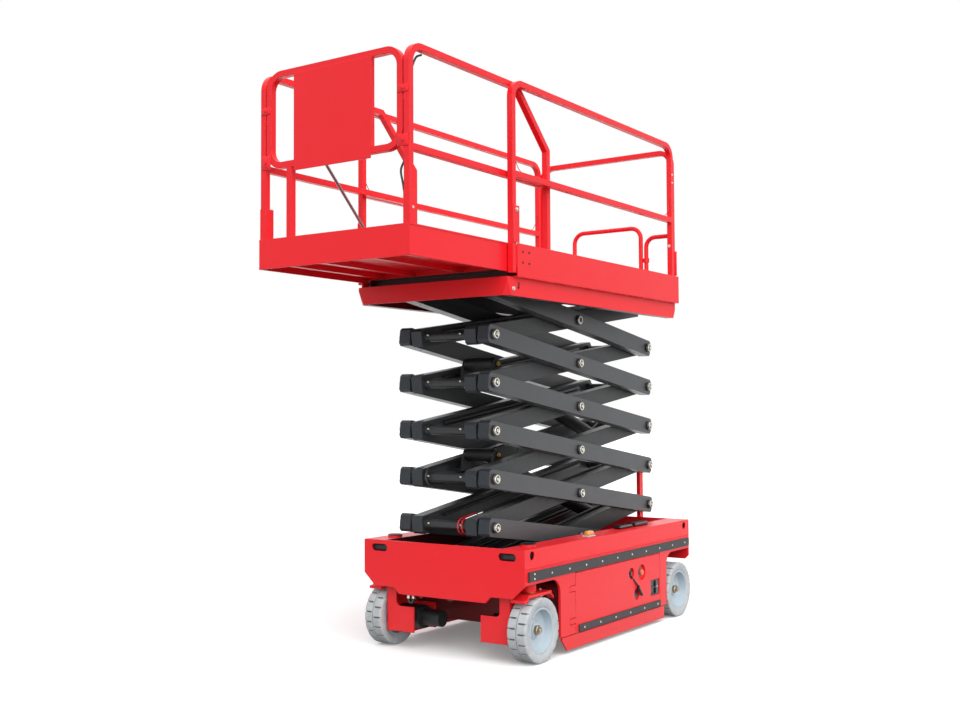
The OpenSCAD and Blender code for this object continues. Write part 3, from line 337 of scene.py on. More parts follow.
red_enamel = enamel("enamel_red", RED, "#E81A25", "#C06A64", 0.34)
# A darker copy of the red: painted shade for the energy blocks, the cross panel and the chequer lugs.
shaded_red_enamel = enamel("enamel_red_painted_shade", "#8E141C", "#7E1219", "#604038", 0.42)
# A near-black red for the tub: painted shade inside the chassis top.
shaded_tub_enamel = enamel("enamel_red_tub_painted_shade", "#4E0F14", "#3E0D11", "#3A2A26", 0.5)
grey_enamel = enamel("enamel_charcoal", "#3F4144", "#383A3D", "#6A6862", 0.33, 0.42)
# A darker copy of the charcoal for the inner arms: painted shade.
shaded_grey_enamel = enamel("enamel_charcoal_painted_shade", "#2A2C2E", "#242628", "#4A4844", 0.36, 0.35)
rim_enamel = enamel("enamel_pale_grey", "#BBC9D2", "#B2C0CA", "#9A958C", 0.38, 0.4)
black_enamel = enamel("enamel_black", "#17181A", "#1C1E20", "#3A3834", 0.45)
print("enamels made")

# %% [markdown]
# ### Rubber, plastic and metals
# The tyres are solid non-marking rubber, pale grey and dull with faint stains, and with painted shade in the tread
# grooves. The rub strips are black moulded polyethylene. Pins are zinc plated, rods are hard chrome and a few
# washers are brass.

# %% Rubber, plastic, metals
STAIN_GRAINS = 9


def grained(name, colour, shade, settings, grain_mm, bump_strength):
    """Fine grain: noise of the grain's width mixes the colour with its shade and lifts the surface."""
    material, tree, principled = shader(name, settings)
    place = add(tree, "ShaderNodeTexCoord").outputs["Object"]
    grain = add(tree, "ShaderNodeTexNoise", {"Scale": per_mm(grain_mm), "Detail": 4.0}, {"Vector": place})
    stains = add(tree, "ShaderNodeTexNoise", {"Scale": per_mm(grain_mm * STAIN_GRAINS), "Detail": 3.0},
                 {"Vector": place})
    blend = add(tree, "ShaderNodeMath", {"operation": "MULTIPLY"},
                {0: grain.outputs["Fac"], 1: stains.outputs["Fac"]})
    spread = add(tree, "ShaderNodeMapRange", {"From Min": 0.12, "From Max": 0.42},
                 {"Value": blend.outputs[0]})
    colours = add(tree, "ShaderNodeMix", {"data_type": "RGBA", 6: linear(colour), 7: linear(shade)},
                  {0: spread.outputs["Result"]})
    tree.links.new(colours.outputs[2], principled.inputs["Base Color"])
    bump = add(tree, "ShaderNodeBump", {"Strength": bump_strength, "Distance": 0.001},
               {"Height": grain.outputs["Fac"]})
    tree.links.new(bump.outputs["Normal"], principled.inputs["Normal"])
    return material


pale_rubber = grained("rubber_non_marking", "#C2C7CB", "#A9ACAD",
                      {"Roughness": 0.82, "Specular IOR Level": 0.3}, 6, 0.25)
rubber_tree = pale_rubber.node_tree
rubber_colour = rubber_tree.nodes["Principled BSDF"].inputs["Base Color"]
# Darker grey towards the groove floors: painted shade in the tread grooves.
groove_shade_mark = add(rubber_tree, "ShaderNodeAttribute", {"attribute_name": "groove"})
shaded_grooves = add(rubber_tree, "ShaderNodeMix", {"data_type": "RGBA", 7: linear("#6A6D6E")},
             {0: groove_shade_mark.outputs["Fac"], 6: rubber_colour.links[0].from_socket})
rubber_tree.links.new(shaded_grooves.outputs[2], rubber_colour)
cap_rubber = grained("rubber_black", "#1C2126", "#252B31", {"Roughness": 0.5, "Specular IOR Level": 0.35},
                     5, 0.15)
black_plastic = grained("polyethylene_black", "#2F3133", "#252729", {"Roughness": 0.6}, 5, 0.2)
gloss_black = grained("abs_black", "#131416", "#1A1B1D", {"Roughness": 0.28, "IOR": 1.53}, 7, 0.05)
grey_plastic = grained("abs_grey", "#56595C", "#4C4F52", {"Roughness": 0.45, "IOR": 1.53}, 6, 0.08)
zinc = grained("zinc_plate", "#D2CFC4", "#B4B1A8", {"Metallic": 1.0, "Roughness": 0.34}, 5, 0.08)
chrome = grained("hard_chrome", "#D5D7D9", "#C5C8CA", {"Metallic": 1.0, "Roughness": 0.14}, 4, 0.02)
brass = grained("brass_washer", "#B8924A", "#94733A", {"Metallic": 1.0, "Roughness": 0.36}, 4, 0.08)
passivated = grained("yellow_passivated_steel", "#D6B45A", "#B89A4C",
                     {"Metallic": 1.0, "Roughness": 0.4}, 4, 0.1)
rusty = grained("phosphated_steel", "#B0A48E", "#857A68", {"Metallic": 1.0, "Roughness": 0.42}, 4, 0.2)
strut_grey = grained("satin_steel", "#85878A", "#77797C", {"Roughness": 0.3, "IOR": 1.6}, 6, 0.05)
amber = grained("polycarbonate_amber", "#F0921E", "#E07F12", {"Roughness": 0.16, "IOR": 1.58}, 12, 0.03)
stop_red = grained("abs_signal_red", "#F26A3E", "#E8552E", {"Roughness": 0.3, "IOR": 1.53}, 9, 0.03)
red_sleeve = grained("pvc_red", "#C81822", "#A8141D", {"Roughness": 0.4, "IOR": 1.53}, 6, 0.05)
black_hose_pvc = grained("pvc_black", "#121314", "#1B1C1D", {"Roughness": 0.42, "IOR": 1.53}, 6, 0.08)
print("materials", [m.name for m in bpy.data.materials][-15:])

# %% [markdown]
# ### Pins that are painted and bare
# The collars and thrust rings of the pins were painted with the arms, while the pin ends were left in zinc.
# The border follows the distance from the machine's middle plane, so one material does both.

# %% Pin finish
def painted_pin(name, paint, metal, border):
    """Paint up to a distance from the middle plane, metal beyond it: mix = 1 where |y| > border."""
    material, tree, principled = shader(name, {"Roughness": 0.4})
    place = add(tree, "ShaderNodeTexCoord").outputs["Object"]
    axes = add(tree, "ShaderNodeSeparateXYZ", {}, {0: place})
    away = add(tree, "ShaderNodeMath", {"operation": "ABSOLUTE"}, {0: axes.outputs["Y"]})
    bare = add(tree, "ShaderNodeMath", {"operation": "GREATER_THAN", 1: border}, {0: away.outputs[0]})
    wear = add(tree, "ShaderNodeTexNoise", {"Scale": per_mm(9), "Detail": 4.0}, {"Vector": place})
    metal_tone = add(tree, "ShaderNodeMix", {"data_type": "RGBA", 6: linear(metal), 7: linear("#9A968C")},
                     {0: wear.outputs["Fac"]})
    colours = add(tree, "ShaderNodeMix", {"data_type": "RGBA", 6: linear(paint)},
                  {0: bare.outputs[0], 7: metal_tone.outputs[2]})
    tree.links.new(colours.outputs[2], principled.inputs["Base Color"])
    tree.links.new(bare.outputs[0], principled.inputs["Metallic"])
    return material


PIN_BARE = 7 * MM
pin_finish = painted_pin("painted_pin", "#1E2023", "#CFCABC", float(pin_end_y) - PIN_BARE)


# %% [markdown]
# ### The deck's underside in painted shade
# Below the floor, the deck's red is darkened to stand for the shade under the platform: painted shade. Only its
# outer frame keeps the plain red. A box of three limits picks the shaded part: between the side plates, behind
# the front plate and under the floor.

# %% Deck finish
def limited(tree, place, reach, front, top):
    """1 where |y| < reach, x < front and z < top, else 0: the product of three comparisons."""
    axes = add(tree, "ShaderNodeSeparateXYZ", {}, {0: place})
    away = add(tree, "ShaderNodeMath", {"operation": "ABSOLUTE"}, {0: axes.outputs["Y"]})
    side = add(tree, "ShaderNodeMath", {"operation": "LESS_THAN", 1: reach}, {0: away.outputs[0]})
    fore = add(tree, "ShaderNodeMath", {"operation": "LESS_THAN", 1: front}, {0: axes.outputs["X"]})
    under = add(tree, "ShaderNodeMath", {"operation": "LESS_THAN", 1: top}, {0: axes.outputs["Z"]})
    both = add(tree, "ShaderNodeMath", {"operation": "MULTIPLY"}, {0: side.outputs[0], 1: fore.outputs[0]})
    picked = add(tree, "ShaderNodeMath", {"operation": "MULTIPLY"},
                 {0: both.outputs[0], 1: under.outputs[0]})
    return picked.outputs[0]


deck_high = corners("main_deck")[1]
FRAME_INSET = 36 * MM
FRONT_INSET = 8 * MM
FLOOR_INSET = 2 * MM
deck_red_and_shade, deck_tree, deck_shader = shader("enamel_red_with_painted_shade",
                                             {"Roughness": 0.38, "Specular IOR Level": 0.28})
deck_place = add(deck_tree, "ShaderNodeTexCoord").outputs["Object"]
inside = limited(deck_tree, deck_place, float(deck_high[1]) - FRAME_INSET, float(deck_high[0]) - FRONT_INSET,
                 float(deck_high[2]) - FLOOR_INSET)
# Near-black red below the floor: painted shade under the platform.
deck_colour_and_shade = add(deck_tree, "ShaderNodeMix",
                  {"data_type": "RGBA", 6: linear(RED), 7: linear("#33191B")}, {0: inside})
deck_tree.links.new(deck_colour_and_shade.outputs[2], deck_shader.inputs["Base Color"])

FINISH = {"red_paint": red_enamel, "grey_paint": grey_enamel, "rim_paint": rim_enamel,
          "black_paint": black_enamel, "zinc_steel": zinc, "hard_chrome": chrome,
          "black_plastic": black_plastic, "grey_rubber": pale_rubber, "red_sheath": red_sleeve}
# The tub, the energy blocks and the deck below its floor take darker reds: painted shade.
NODE_FINISH = {"chassis_tub": shaded_tub_enamel, "energy_blocks": shaded_red_enamel, "rail_brace": strut_grey,
               "black_hose": black_hose_pvc, "main_deck": deck_red_and_shade}
slot_of = {s["node"]: s["material_slot"] for s in frame["record"]["subparts"]}
for node_name, node_object in nodes.items():
    finish = NODE_FINISH.get(node_name, FINISH[slot_of[node_name]])
    if node_name.startswith("pins_"):
        finish = pin_finish
    # The inner arms take the darker charcoal copy: painted shade between the outer arms.
    if node_name.startswith("inner_arms_"):
        finish = shaded_grey_enamel
    node_object.data.materials.clear()
    node_object.data.materials.append(finish)
print("finishes given to", len(nodes), "nodes")

# %% [markdown]
# ## Camera
# The photograph was taken from near the front left corner with a normal lens, at about chest height, and
# looks slightly up. Its place was worked out from known sizes on the machine.

# %% Camera
PICTURE = (960, 720)
FOCAL_PX = 1172.66
EYE = np.array([6.819, 4.2067, 1.4831]) + [wheel_mid_x, 0, 0]
YAW, TILT, ROLL = math.radians(34.5), math.radians(2.4), math.radians(-0.3)
look = np.array([-math.cos(YAW) * math.cos(TILT), -math.sin(YAW) * math.cos(TILT), math.sin(TILT)])
right = np.cross(look, [0, 0, 1])
right /= np.linalg.norm(right)
up = np.cross(right, look)
right, up = (math.cos(ROLL) * right + math.sin(ROLL) * up, math.cos(ROLL) * up - math.sin(ROLL) * right)
camera_data = bpy.data.cameras.new("photo_camera")
camera_data.sensor_fit = "HORIZONTAL"
camera_data.sensor_width = 36.0
camera_data.lens = FOCAL_PX / PICTURE[0] * camera_data.sensor_width
camera = bpy.data.objects.new("photo_camera", camera_data)
camera.matrix_world = Matrix([(*row, place) for row, place in zip(np.stack([right, up, -look], axis=1), EYE)]
                             + [(0, 0, 0, 1)])
bpy.context.scene.collection.objects.link(camera)
bpy.context.scene.camera = camera
print("lens", round(camera_data.lens, 2), "mm")

# %% [markdown]
# ## Light and floor
# The machine stood in the open under a wide bright sky, brightest on its left side, and the picture shows it
# on white. A far lamp with a very wide disc gives that soft light without falling off over the floor. Rays
# from the camera and mirror-like rays see white around the machine, and scattered light sees a duller sky
# and a grey yard, so undersides stay dark. The floor stays a lit surface, so it keeps the shadow.

# %% Light and floor
scene = bpy.context.scene
scene.view_settings.view_transform = "Standard"
world = bpy.data.worlds.new("studio")
scene.world = world
world.use_nodes = True
sky = world.node_tree
background = sky.nodes["Background"]
background.inputs["Color"].default_value = linear("#FFFFFF")


def seen_directly(tree):
    """1 for rays from the camera, and for glossy and transmitted ones; 0 for scattered light."""
    rays = add(tree, "ShaderNodeLightPath")
    first = add(tree, "ShaderNodeMath", {"operation": "MAXIMUM"},
                {0: rays.outputs["Is Camera Ray"], 1: rays.outputs["Is Glossy Ray"]})
    both = add(tree, "ShaderNodeMath", {"operation": "MAXIMUM"},
               {0: first.outputs[0], 1: rays.outputs["Is Transmission Ray"]})
    return both.outputs[0]


SKY_LIGHT = 0.52
strength = add(sky, "ShaderNodeMapRange", {"To Min": SKY_LIGHT, "To Max": 1.0}, {"Value": seen_directly(sky)})
sky.links.new(strength.outputs["Result"], background.inputs["Strength"])


def far_lamp(name, towards, disc, strength_here):
    """Lamp far away in a direction, whose disc is this many degrees wide."""
    data = bpy.data.lights.new(name, "SUN")
    data.energy = strength_here * math.pi
    data.angle = math.radians(disc)
    back = np.array(towards, float) / np.linalg.norm(towards)
    side = np.cross([0, 0, 1], back)
    side /= np.linalg.norm(side)
    axes = np.stack([side, np.cross(back, side), back], axis=1)
    obj = bpy.data.objects.new(name, data)
    obj.matrix_world = Matrix([(*row, 0.0) for row in axes] + [(0, 0, 0, 1)])
    scene.collection.objects.link(obj)


far_lamp("left_sky", (0.42, 0.70, 0.62), 75, 0.92)
far_lamp("front_sky", (0.92, 0.12, 0.38), 90, 0.20)
far_lamp("back_sky", (-0.6, -0.55, 0.75), 90, 0.18)
FLOOR_REACH = 60.0
FLOOR_LIFT = 0.16
floor_mesh = bpy.data.meshes.new("floor")
floor_mesh.from_pydata([(-FLOOR_REACH, -FLOOR_REACH, 0), (FLOOR_REACH, -FLOOR_REACH, 0),
                        (FLOOR_REACH, FLOOR_REACH, 0), (-FLOOR_REACH, FLOOR_REACH, 0)], [], [(0, 1, 2, 3)])
floor_paint, floor_tree, floor_shader = shader("floor_white", {"Roughness": 1.0, "Specular IOR Level": 0.0,
                                                               "Emission Color": linear("#FFFFFF")})
seen = seen_directly(floor_tree)
tone = add(floor_tree, "ShaderNodeMix",
           {"data_type": "RGBA", 6: linear("#8C8C8A"), 7: linear("#FFFFFF")}, {0: seen})
floor_tree.links.new(tone.outputs[2], floor_shader.inputs["Base Color"])
lift = add(floor_tree, "ShaderNodeMath", {"operation": "MULTIPLY", 1: FLOOR_LIFT}, {0: seen})
floor_tree.links.new(lift.outputs[0], floor_shader.inputs["Emission Strength"])
floor_mesh.materials.append(floor_paint)
floor = bpy.data.objects.new("floor", floor_mesh)
scene.collection.objects.link(floor)

# %% [markdown]
# ## Tyres
# The tyre is a solid ring pressed on the rim. Its tread has short grooves cut in from both shoulders, the two
# rows half a step apart, and one fine line round the middle. The surface is a grid of angle and profile:
# the profile is one ring round the tyre's section, and each groove lowers the radius where it runs.

# %% Tyres
GROOVES = 19
GROOVE_DEPTH = 8 * MM
GROOVE_HALF = 4.2 * MM
GROOVE_REACH = 22 * MM
TREAD_EDGE = 10 * MM
LINE_HALF = 1.6 * MM


def tread_angles(radius):
    """Angles that put columns at both edges of every groove of both rows."""
    step = math.pi / GROOVES
    edge = GROOVE_HALF / radius
    foot, top = 0.85 * edge, 1.35 * edge
    offsets = np.array([-top, -foot, foot, top, 0.25 * step, 0.5 * step, 0.75 * step])
    return (np.arange(2 * GROOVES)[:, None] * step + np.sort(offsets)).ravel()


def tyre_section(rim, outer, width):
    """Section of the tyre, once round: bead, sidewall, round shoulder, tread with close columns, and back."""
    half = width / 2
    shoulder = 9 * MM
    arc = np.linspace(0, math.pi / 2, 5)
    right_side = [(rim + 1 * MM, half - 6 * MM), (rim + 8 * MM, half - 1 * MM),
                  (outer - shoulder - 12 * MM, half)]
    corner = [(outer - shoulder + shoulder * math.sin(a), half - shoulder + shoulder * math.cos(a))
              for a in arc]
    flat = np.array([half - shoulder - 10 * MM, 0.5 * half, 0.28 * half, 0.16 * half, 0.14 * half,
                     LINE_HALF * 1.6, LINE_HALF, 0])
    one_side = right_side + corner + [(outer, y) for y in flat]
    other_side = [(r, -y) for r, y in reversed(one_side[:-1])]
    return np.array(one_side + other_side)


def tyre(name, node, body):
    """Radius = section radius minus groove depth where the angle lies in a groove of that half's row. The
    groove attribute is 0 on the tread and rises to 1 at a groove's floor, for painted shade there."""
    low, high = corners(node)
    centre = (low + high) / 2
    outer = (high[2] - low[2]) / 2
    width = high[1] - low[1]
    rim_low, rim_high = corners(node.replace("tyre", "rim"))
    rim = (rim_high[2] - rim_low[2]) / 2
    section = tyre_section(rim, outer, width)
    angle = tread_angles(outer)
    radius, across = section[:, 0][:, None], section[:, 1][:, None]
    step = 2 * math.pi / GROOVES
    row_shift = np.where(across > 0, 0.0, step / 2)
    off = np.abs((angle[None, :] - row_shift + step / 2) % step - step / 2) * outer
    cut = (off < GROOVE_HALF) & (np.abs(across) > 0.15 * width / 2) & (radius > outer - GROOVE_REACH)
    line = (np.abs(across) < LINE_HALF * 1.1) & (radius > outer - 2 * MM)
    depth = np.where(cut, GROOVE_DEPTH, 0.0) + np.where(line, 0.5 * GROOVE_DEPTH, 0.0)
    r = radius - depth
    points = np.stack([r * np.cos(angle), np.broadcast_to(across, r.shape), r * np.sin(angle)], axis=-1)
    faces = quads(len(section), len(angle), wrap_rows=True, wrap_cols=True)
    obj = piece(name, [(points.reshape(-1, 3) + centre, faces)], body, "grey_rubber")
    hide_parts(node)
    mesh = obj.data
    place = np.empty(len(mesh.vertices) * 3)
    mesh.vertices.foreach_get("co", place)
    away = place.reshape(-1, 3) - centre
    sunk = outer - np.hypot(away[:, 0], away[:, 2])
    on_tread = np.abs(away[:, 1]) < width / 2 - TREAD_EDGE
    # The mark grows with depth below the tread, for painted shade in the grooves.
    mark = np.where(on_tread, np.clip(sunk / (0.6 * GROOVE_DEPTH), 0, 1), 0.0)
    inside = sunk > 2 * GROOVE_DEPTH
    mesh.attributes.new("groove", "FLOAT", "POINT").data.foreach_set("value", np.where(inside, 0.0, mark))


WHEELS = [(end, side, out) for end in ENDS for side, out in SIDES]
for end, side, out in WHEELS:
    tyre("tread_%s_%s" % (end, side), "tyre_%s_%s" % (end, side), "wheel_%s_%s" % (end, side))
print("tyres", {k: v for k, v in made.items() if k.startswith("tread")})

# %% [markdown]
# ## Hub nuts
# A castle nut on the stub axle holds each wheel, over a thick washer. A hexagon is a circle turned in six
# steps, and a split pin would be too fine to see, so the nut's top ring stands for the castle.

# %% Hub nuts
def hexagon_nut(across, height, crown=0.0):
    """Six-sided nut with a chamfered top and a round crown: radius = across flats / cos 30 degrees / 2."""
    r = across / 2 / math.cos(math.pi / 6)
    return turned([(0, 0), (r, 0), (r, height * 0.85), (r * 0.9, height), (crown, height)], 6)


def rounded_disc(radius, thickness, lip=1.5 * MM):
    """Washer or boss: flat top, small round edge."""
    return turned([(0, 0), (radius, 0), (radius, thickness - lip), (radius - lip, thickness),
                   (0, thickness)], 40)


def bolt(at, axis, across, height, washer):
    """Hexagon head over a thin round washer."""
    at = np.asarray(at, float)
    axis = np.asarray(axis, float)
    disc = stood(rounded_disc(washer, 2 * MM, 0.6 * MM), at, axis)
    return [disc, stood(hexagon_nut(across, height), at + axis * 2 * MM, axis)]


def dome(radius, height):
    """Round screw head: a flat-bottomed cap."""
    return turned([(0, 0), (radius, 0), (0.86 * radius, 0.6 * height), (0.43 * radius, 0.9 * height),
                   (0, height)], 16)


AXLE = turned_mm([(0, 0), (13, 0), (13, 40), (10, 44), (0, 44)], 24)
CROWN = turned_mm([(0, 0), (19, 0), (19, 9), (15, 10), (0, 10)], 24)
for end, side, out in WHEELS:
    body = "wheel_%s_%s" % (end, side)
    outwards = np.array([0, out, 0])
    face = joint_at[body] + outwards * 12 * MM
    shapes = [stood(hexagon_nut(52 * MM, 22 * MM), face + outwards * 6 * MM, outwards),
              stood(CROWN, face + outwards * 28 * MM, outwards), stood(AXLE, face, outwards)]
    piece("hub_nut_%s_%s" % (end, side), shapes, body, "zinc_steel", rusty)
    piece("hub_washer_%s_%s" % (end, side), [stood(rounded_disc(40 * MM, 6 * MM), face, outwards)],
          body, "rim_paint")
print("hub nuts", sum(k.startswith("hub_nut") for k in made))

# %% [markdown]
# ## Scissor arms
# Each arm is a box tube closed at both ends by a dark rubber cap, folded over the bevelled corners. A pin
# ends in a zinc sleeve with a sunk face and a nut; a thin black disc on the sunk face is painted shade in the
# recess. When the lift is down, the middle pins of the lowest and the top stage pass close to steel, so there
# the sleeve sits flush and has no nut. Both repeat over six stages, so each is drawn once as a function of the
# stage.

# %% Arm caps and pin ends
CAP_THICK = 2.4 * MM
CAP_REACH = 53 * MM
ARM_HALF = 56 * MM
ARM_BEVEL = 16 * MM
ARM_WIDE = 80 * MM


def end_cap(place, stage, across, front):
    """Strip over an arm end, half its thickness off: down the upper bevel, the end and the lower bevel."""
    off = CAP_THICK / 2
    reach = np.array([CAP_REACH - ARM_BEVEL + 1.6 * MM, CAP_REACH + off, CAP_REACH + off,
                      CAP_REACH - ARM_BEVEL + 1.6 * MM])
    over = np.array([ARM_HALF - 0.8 * MM, ARM_HALF - ARM_BEVEL, ARM_BEVEL - ARM_HALF, 0.8 * MM - ARM_HALF])
    along = reach if front else -arm_len - reach
    path = [place(stage, p, across, q) for p, q in zip(along, over)]
    return swept(path, bevelled(ARM_WIDE - 2 * MM, CAP_THICK, 0.8 * MM), (0, 1, 0))


for stage in range(6):
    for frame_name, place, wall in (("inner", on_inner, inner_arm_y), ("outer", on_outer, outer_arm_y)):
        caps = [end_cap(place, stage, out * (wall - ARM_WIDE / 2), front)
                for _, out in SIDES for front in (True, False)]
        piece("%s_caps_%d" % (frame_name, stage), caps, "%s_%d" % (frame_name, stage),
              "black_plastic", cap_rubber)

SLEEVE_PROUD = 5.5
SLEEVE = turned_mm([(18, -8), (27, -8), (27, 4), (25.5, SLEEVE_PROUD), (19.5, SLEEVE_PROUD), (18, 4),
                    (18, -8)], 36)
mid_pin_x = joint_at["cross_0"][0]
for stage in range(6):
    level = lift_pin[2] + pitch * stage
    columns = [(front_pin_x, level, True), (mid_pin_x, level + pitch / 2, 0 < stage < 5)]
    if stage < 5:
        columns.append((rear_pin_x, level + pitch, True))
    bright, dark = [], []
    for _, out in SIDES:
        axis = np.array([0, out, 0])
        for x, z, nut in columns:
            end_at = np.array([x, out * pin_end_y, z])
            bright.append(stood(SLEEVE, end_at if nut else end_at - axis * SLEEVE_PROUD * MM, axis))
            if nut:
                bright.append(stood(hexagon_nut(20 * MM, 8 * MM), end_at, axis))
            # Black disc on the sunk face: painted shade in the recess.
            dark.append(stood(rounded_disc(18 * MM, 0.8 * MM, 0.2 * MM), end_at, axis))
    piece("pin_ends_%d" % stage, bright, "inner_%d" % stage, "zinc_steel")
    piece("pin_recess_shade_%d" % stage, dark, "inner_%d" % stage, "black_paint")
print("arm caps and pin ends", sum("caps_" in k or "pin_" in k for k in made))

# %% [markdown]
# ### Small fittings in the stack
# Grease nipples sit on the cross tubes next to their collars, and short rubber stops on the right-hand inner
# arms. A yellow bolt on the left and a bright one on the right hold the pin of each cylinder rod, and a black
# sleeve covers the rod's cross head. Hoses run along the inside of the inner arms.

# %% Stack fittings
NIPPLE = turned_mm([(0, 0), (5, 0), (5, 4), (3, 5), (3, 9), (4, 11), (2, 14), (0, 14)], 12)
ROD_PIN = (-0.370, 0.075)
ROD_PIN_END = 128 * MM
for stage in range(1, 6):
    front_dir = on_inner(stage, 1, 0, 0.35) - on_inner(stage, 0, 0, 0)
    proud = front_dir / np.linalg.norm(front_dir) * 40 * MM
    shapes = [stood(NIPPLE, on_inner(stage, 0, out * 120 * MM, 0) + proud, front_dir) for _, out in SIDES]
    piece("grease_nipples_%d" % stage, shapes, "inner_%d" % stage, "zinc_steel")
for stage in (2, 4):
    for name, out, metal in (("rod_keeper_%d", 1, passivated), ("rod_bolt_%d", -1, zinc)):
        at = on_inner(stage, ROD_PIN[0], out * ROD_PIN_END, ROD_PIN[1])
        piece(name % stage, bolt(at, (0, out, 0), 22 * MM, 9 * MM, 15 * MM), "inner_%d" % stage,
              "zinc_steel", metal)
for stage in (2, 3, 4):
    low = on_inner(stage, -8 * MM, -201 * MM, ARM_HALF + 1.5 * MM)
    high = on_inner(stage, 28 * MM, -201 * MM, ARM_HALF + 1.5 * MM)
    piece("arm_stop_%d" % stage, [bar(low, high, 34 * MM, 3.4 * MM, 1 * MM)], "inner_%d" % stage,
          "black_plastic", cap_rubber)
HEAD_R, HEAD_HALF = 41.2 * MM, 101 * MM
sleeve = turned([(0, -HEAD_HALF), (HEAD_R, -HEAD_HALF), (HEAD_R, HEAD_HALF), (0, HEAD_HALF)], 40)
for body, stage in (("lower_rod", 2), ("upper_rod", 4)):
    head_at = on_inner(stage, ROD_PIN[0], 0, ROD_PIN[1])
    piece("rod_head_" + body[:5], [stood(sleeve, head_at, (0, 1, 0))], body, "black_paint")
HOSE_WALL = 148 * MM
HOSE_RUNS = {0: ((-1, 22), (-1, -4), (1, 64), (1, 46)), 1: ((1, 60), (-1, 22)), 3: ((-1, 22), (-1, -4)),
             4: ((-1, 22), (-1, -4)), 5: ((-1, 22), (-1, -4))}
for stage, places in HOSE_RUNS.items():
    runs = [swept([on_inner(stage, p, side * HOSE_WALL, over * MM) for p in np.linspace(-0.16, -1.88, 9)],
                  circle(9 * MM, 12), (0, 1, 0)) for side, over in places]
    piece("hose_run_%d" % stage, runs, "inner_%d" % stage, "black_plastic", black_hose_pvc)
print("stack fittings", sum(k.startswith(("grease", "rod_", "arm_stop", "hose_run")) for k in made))


# %% [markdown]
# ## Chassis sides
# From here places are given as the machine is measured: millimetres ahead of the middle between the axles,
# to the left of the centre line and above the floor. A black moulded strip with screws runs along both
# sides, and a shorter one along the foot of each door.

# %% Strips and screws
def spot(x, y, z):
    """Place in metres from millimetres: ahead of the wheels' middle, left of the centre, above the floor."""
    return np.array([wheel_mid_x + x * MM, y * MM, z * MM])


def block(x, y, z, bevel=1, out=1):
    """Plate between two limits along each axis, on the left side, or on the right when out is -1."""
    return plate(spot(x[0], out * y[0], z[0]), spot(x[1], out * y[1], z[1]), bevel * MM)


def screws(xs, y, z, out, radius=6.5 * MM, height=3.5 * MM):
    """Domed screw heads at these places along X, standing on a side face."""
    return [stood(dome(radius, height), spot(x, out * y, z), (0, out, 0)) for x in xs]


SIDE, STRIP_OUT, DOOR_STRIP_OUT = 595, 607, 606
for side, out in SIDES:
    row = screws(np.linspace(-1010, 840, 10), STRIP_OUT, 517, out)
    row += screws([1035], STRIP_OUT, 531, out) + screws([1035], STRIP_OUT, 503, out)
    piece("strip_screws_" + side, row, "chassis", "zinc_steel")
    strip = block((-614, 513), (SIDE, DOOR_STRIP_OUT), (118, 162), 3, out)
    piece("door_strip_" + side, [strip], side + "_door", "black_plastic")
    row = screws(np.linspace(-565, 455, 6), DOOR_STRIP_OUT, 140, out)
    piece("door_strip_screws_" + side, row, side + "_door", "zinc_steel")
    lip = block((-1090, 1108), (SIDE, SIDE + 3), (560, 566), 1, out)
    piece("beam_lip_" + side, [lip], "chassis", "red_paint")
print("strips and screws made")

# %% [markdown]
# ### Door fittings
# The holes in a door show the controls behind it: a stop button, a round switch with a lever, and a latch
# plate. The square opening at the rear holds a socket with two flaps and a plain cover plate.

# %% Door fittings
DOOR_BACK = 579
BUTTON = turned_mm([(0, 0), (13, 0), (13, 9), (19, 10), (20.5, 13), (18, 17), (10, 19.5), (0, 20)])
SWITCH = turned_mm([(0, 0), (27, 0), (27, 6), (14, 8), (12, 15), (0, 16)])
LEVER = [(-207, 588, 366), (-232, 598, 338), (-269, 603, 305)]
GRIP = [(-277, 604, 297), (-296, 605, 268), (-330, 605, 233)]
for side, out in SIDES:
    body = side + "_door"
    outwards = (0, out, 0)
    seat = stood(rounded_disc(34 * MM, 4 * MM), spot(-347, out * DOOR_BACK, 380), outwards)
    piece("stop_plate_" + side, [seat], body, "black_plastic", grey_plastic)
    button = stood(BUTTON, spot(-347, out * (DOOR_BACK + 4), 380), outwards)
    piece("stop_button_" + side, [button], body, "red_sheath", stop_red)
    switch = stood(SWITCH, spot(-197, out * DOOR_BACK, 388), outwards)
    stem = wire([spot(x, out * y, z) for x, y, z in LEVER], 6 * MM)
    grip = wire([spot(x, out * y, z) for x, y, z in GRIP], 9 * MM, 14)
    latch = stood(rounded_disc(31 * MM, 8 * MM), spot(-272, out * DOOR_BACK, 244), outwards)
    piece("door_switch_" + side, [switch, stem, grip, latch], body, "black_plastic", gloss_black)
    socket = [block((-572, -482), (DOOR_BACK, DOOR_BACK + 3), (205, 307), 0.8, out)]
    for z in (205, 252, 299):
        socket.append(block((-572, -482), (DOOR_BACK + 2, DOOR_BACK + 13), (z, z + 8), 1.5, out))
    for x in (-572, -490):
        socket.append(block((x, x + 8), (DOOR_BACK + 2, DOOR_BACK + 13), (206, 306), 1.5, out))
    piece("socket_" + side, socket, body, "black_plastic", gloss_black)
    cover = block((-612, -574), (DOOR_BACK, DOOR_BACK + 8), (206, 306), 1.5, out)
    piece("socket_cover_" + side, [cover], body, "black_plastic", grey_plastic)
    piece("socket_screw_" + side, screws([-593], DOOR_BACK + 8, 256, out, 7 * MM), body, "zinc_steel")
print("door fittings", sum(k.startswith(("stop_", "door_sw", "socket")) for k in made))

# %% [markdown]
# ### King pins, lamp and rear boxes
# A low black cap closes the top of each king pin tube, and a brass washer carries the tube on the yoke. An
# amber lamp stands on each side beam, and black boxes for cable joints lie near the rear.

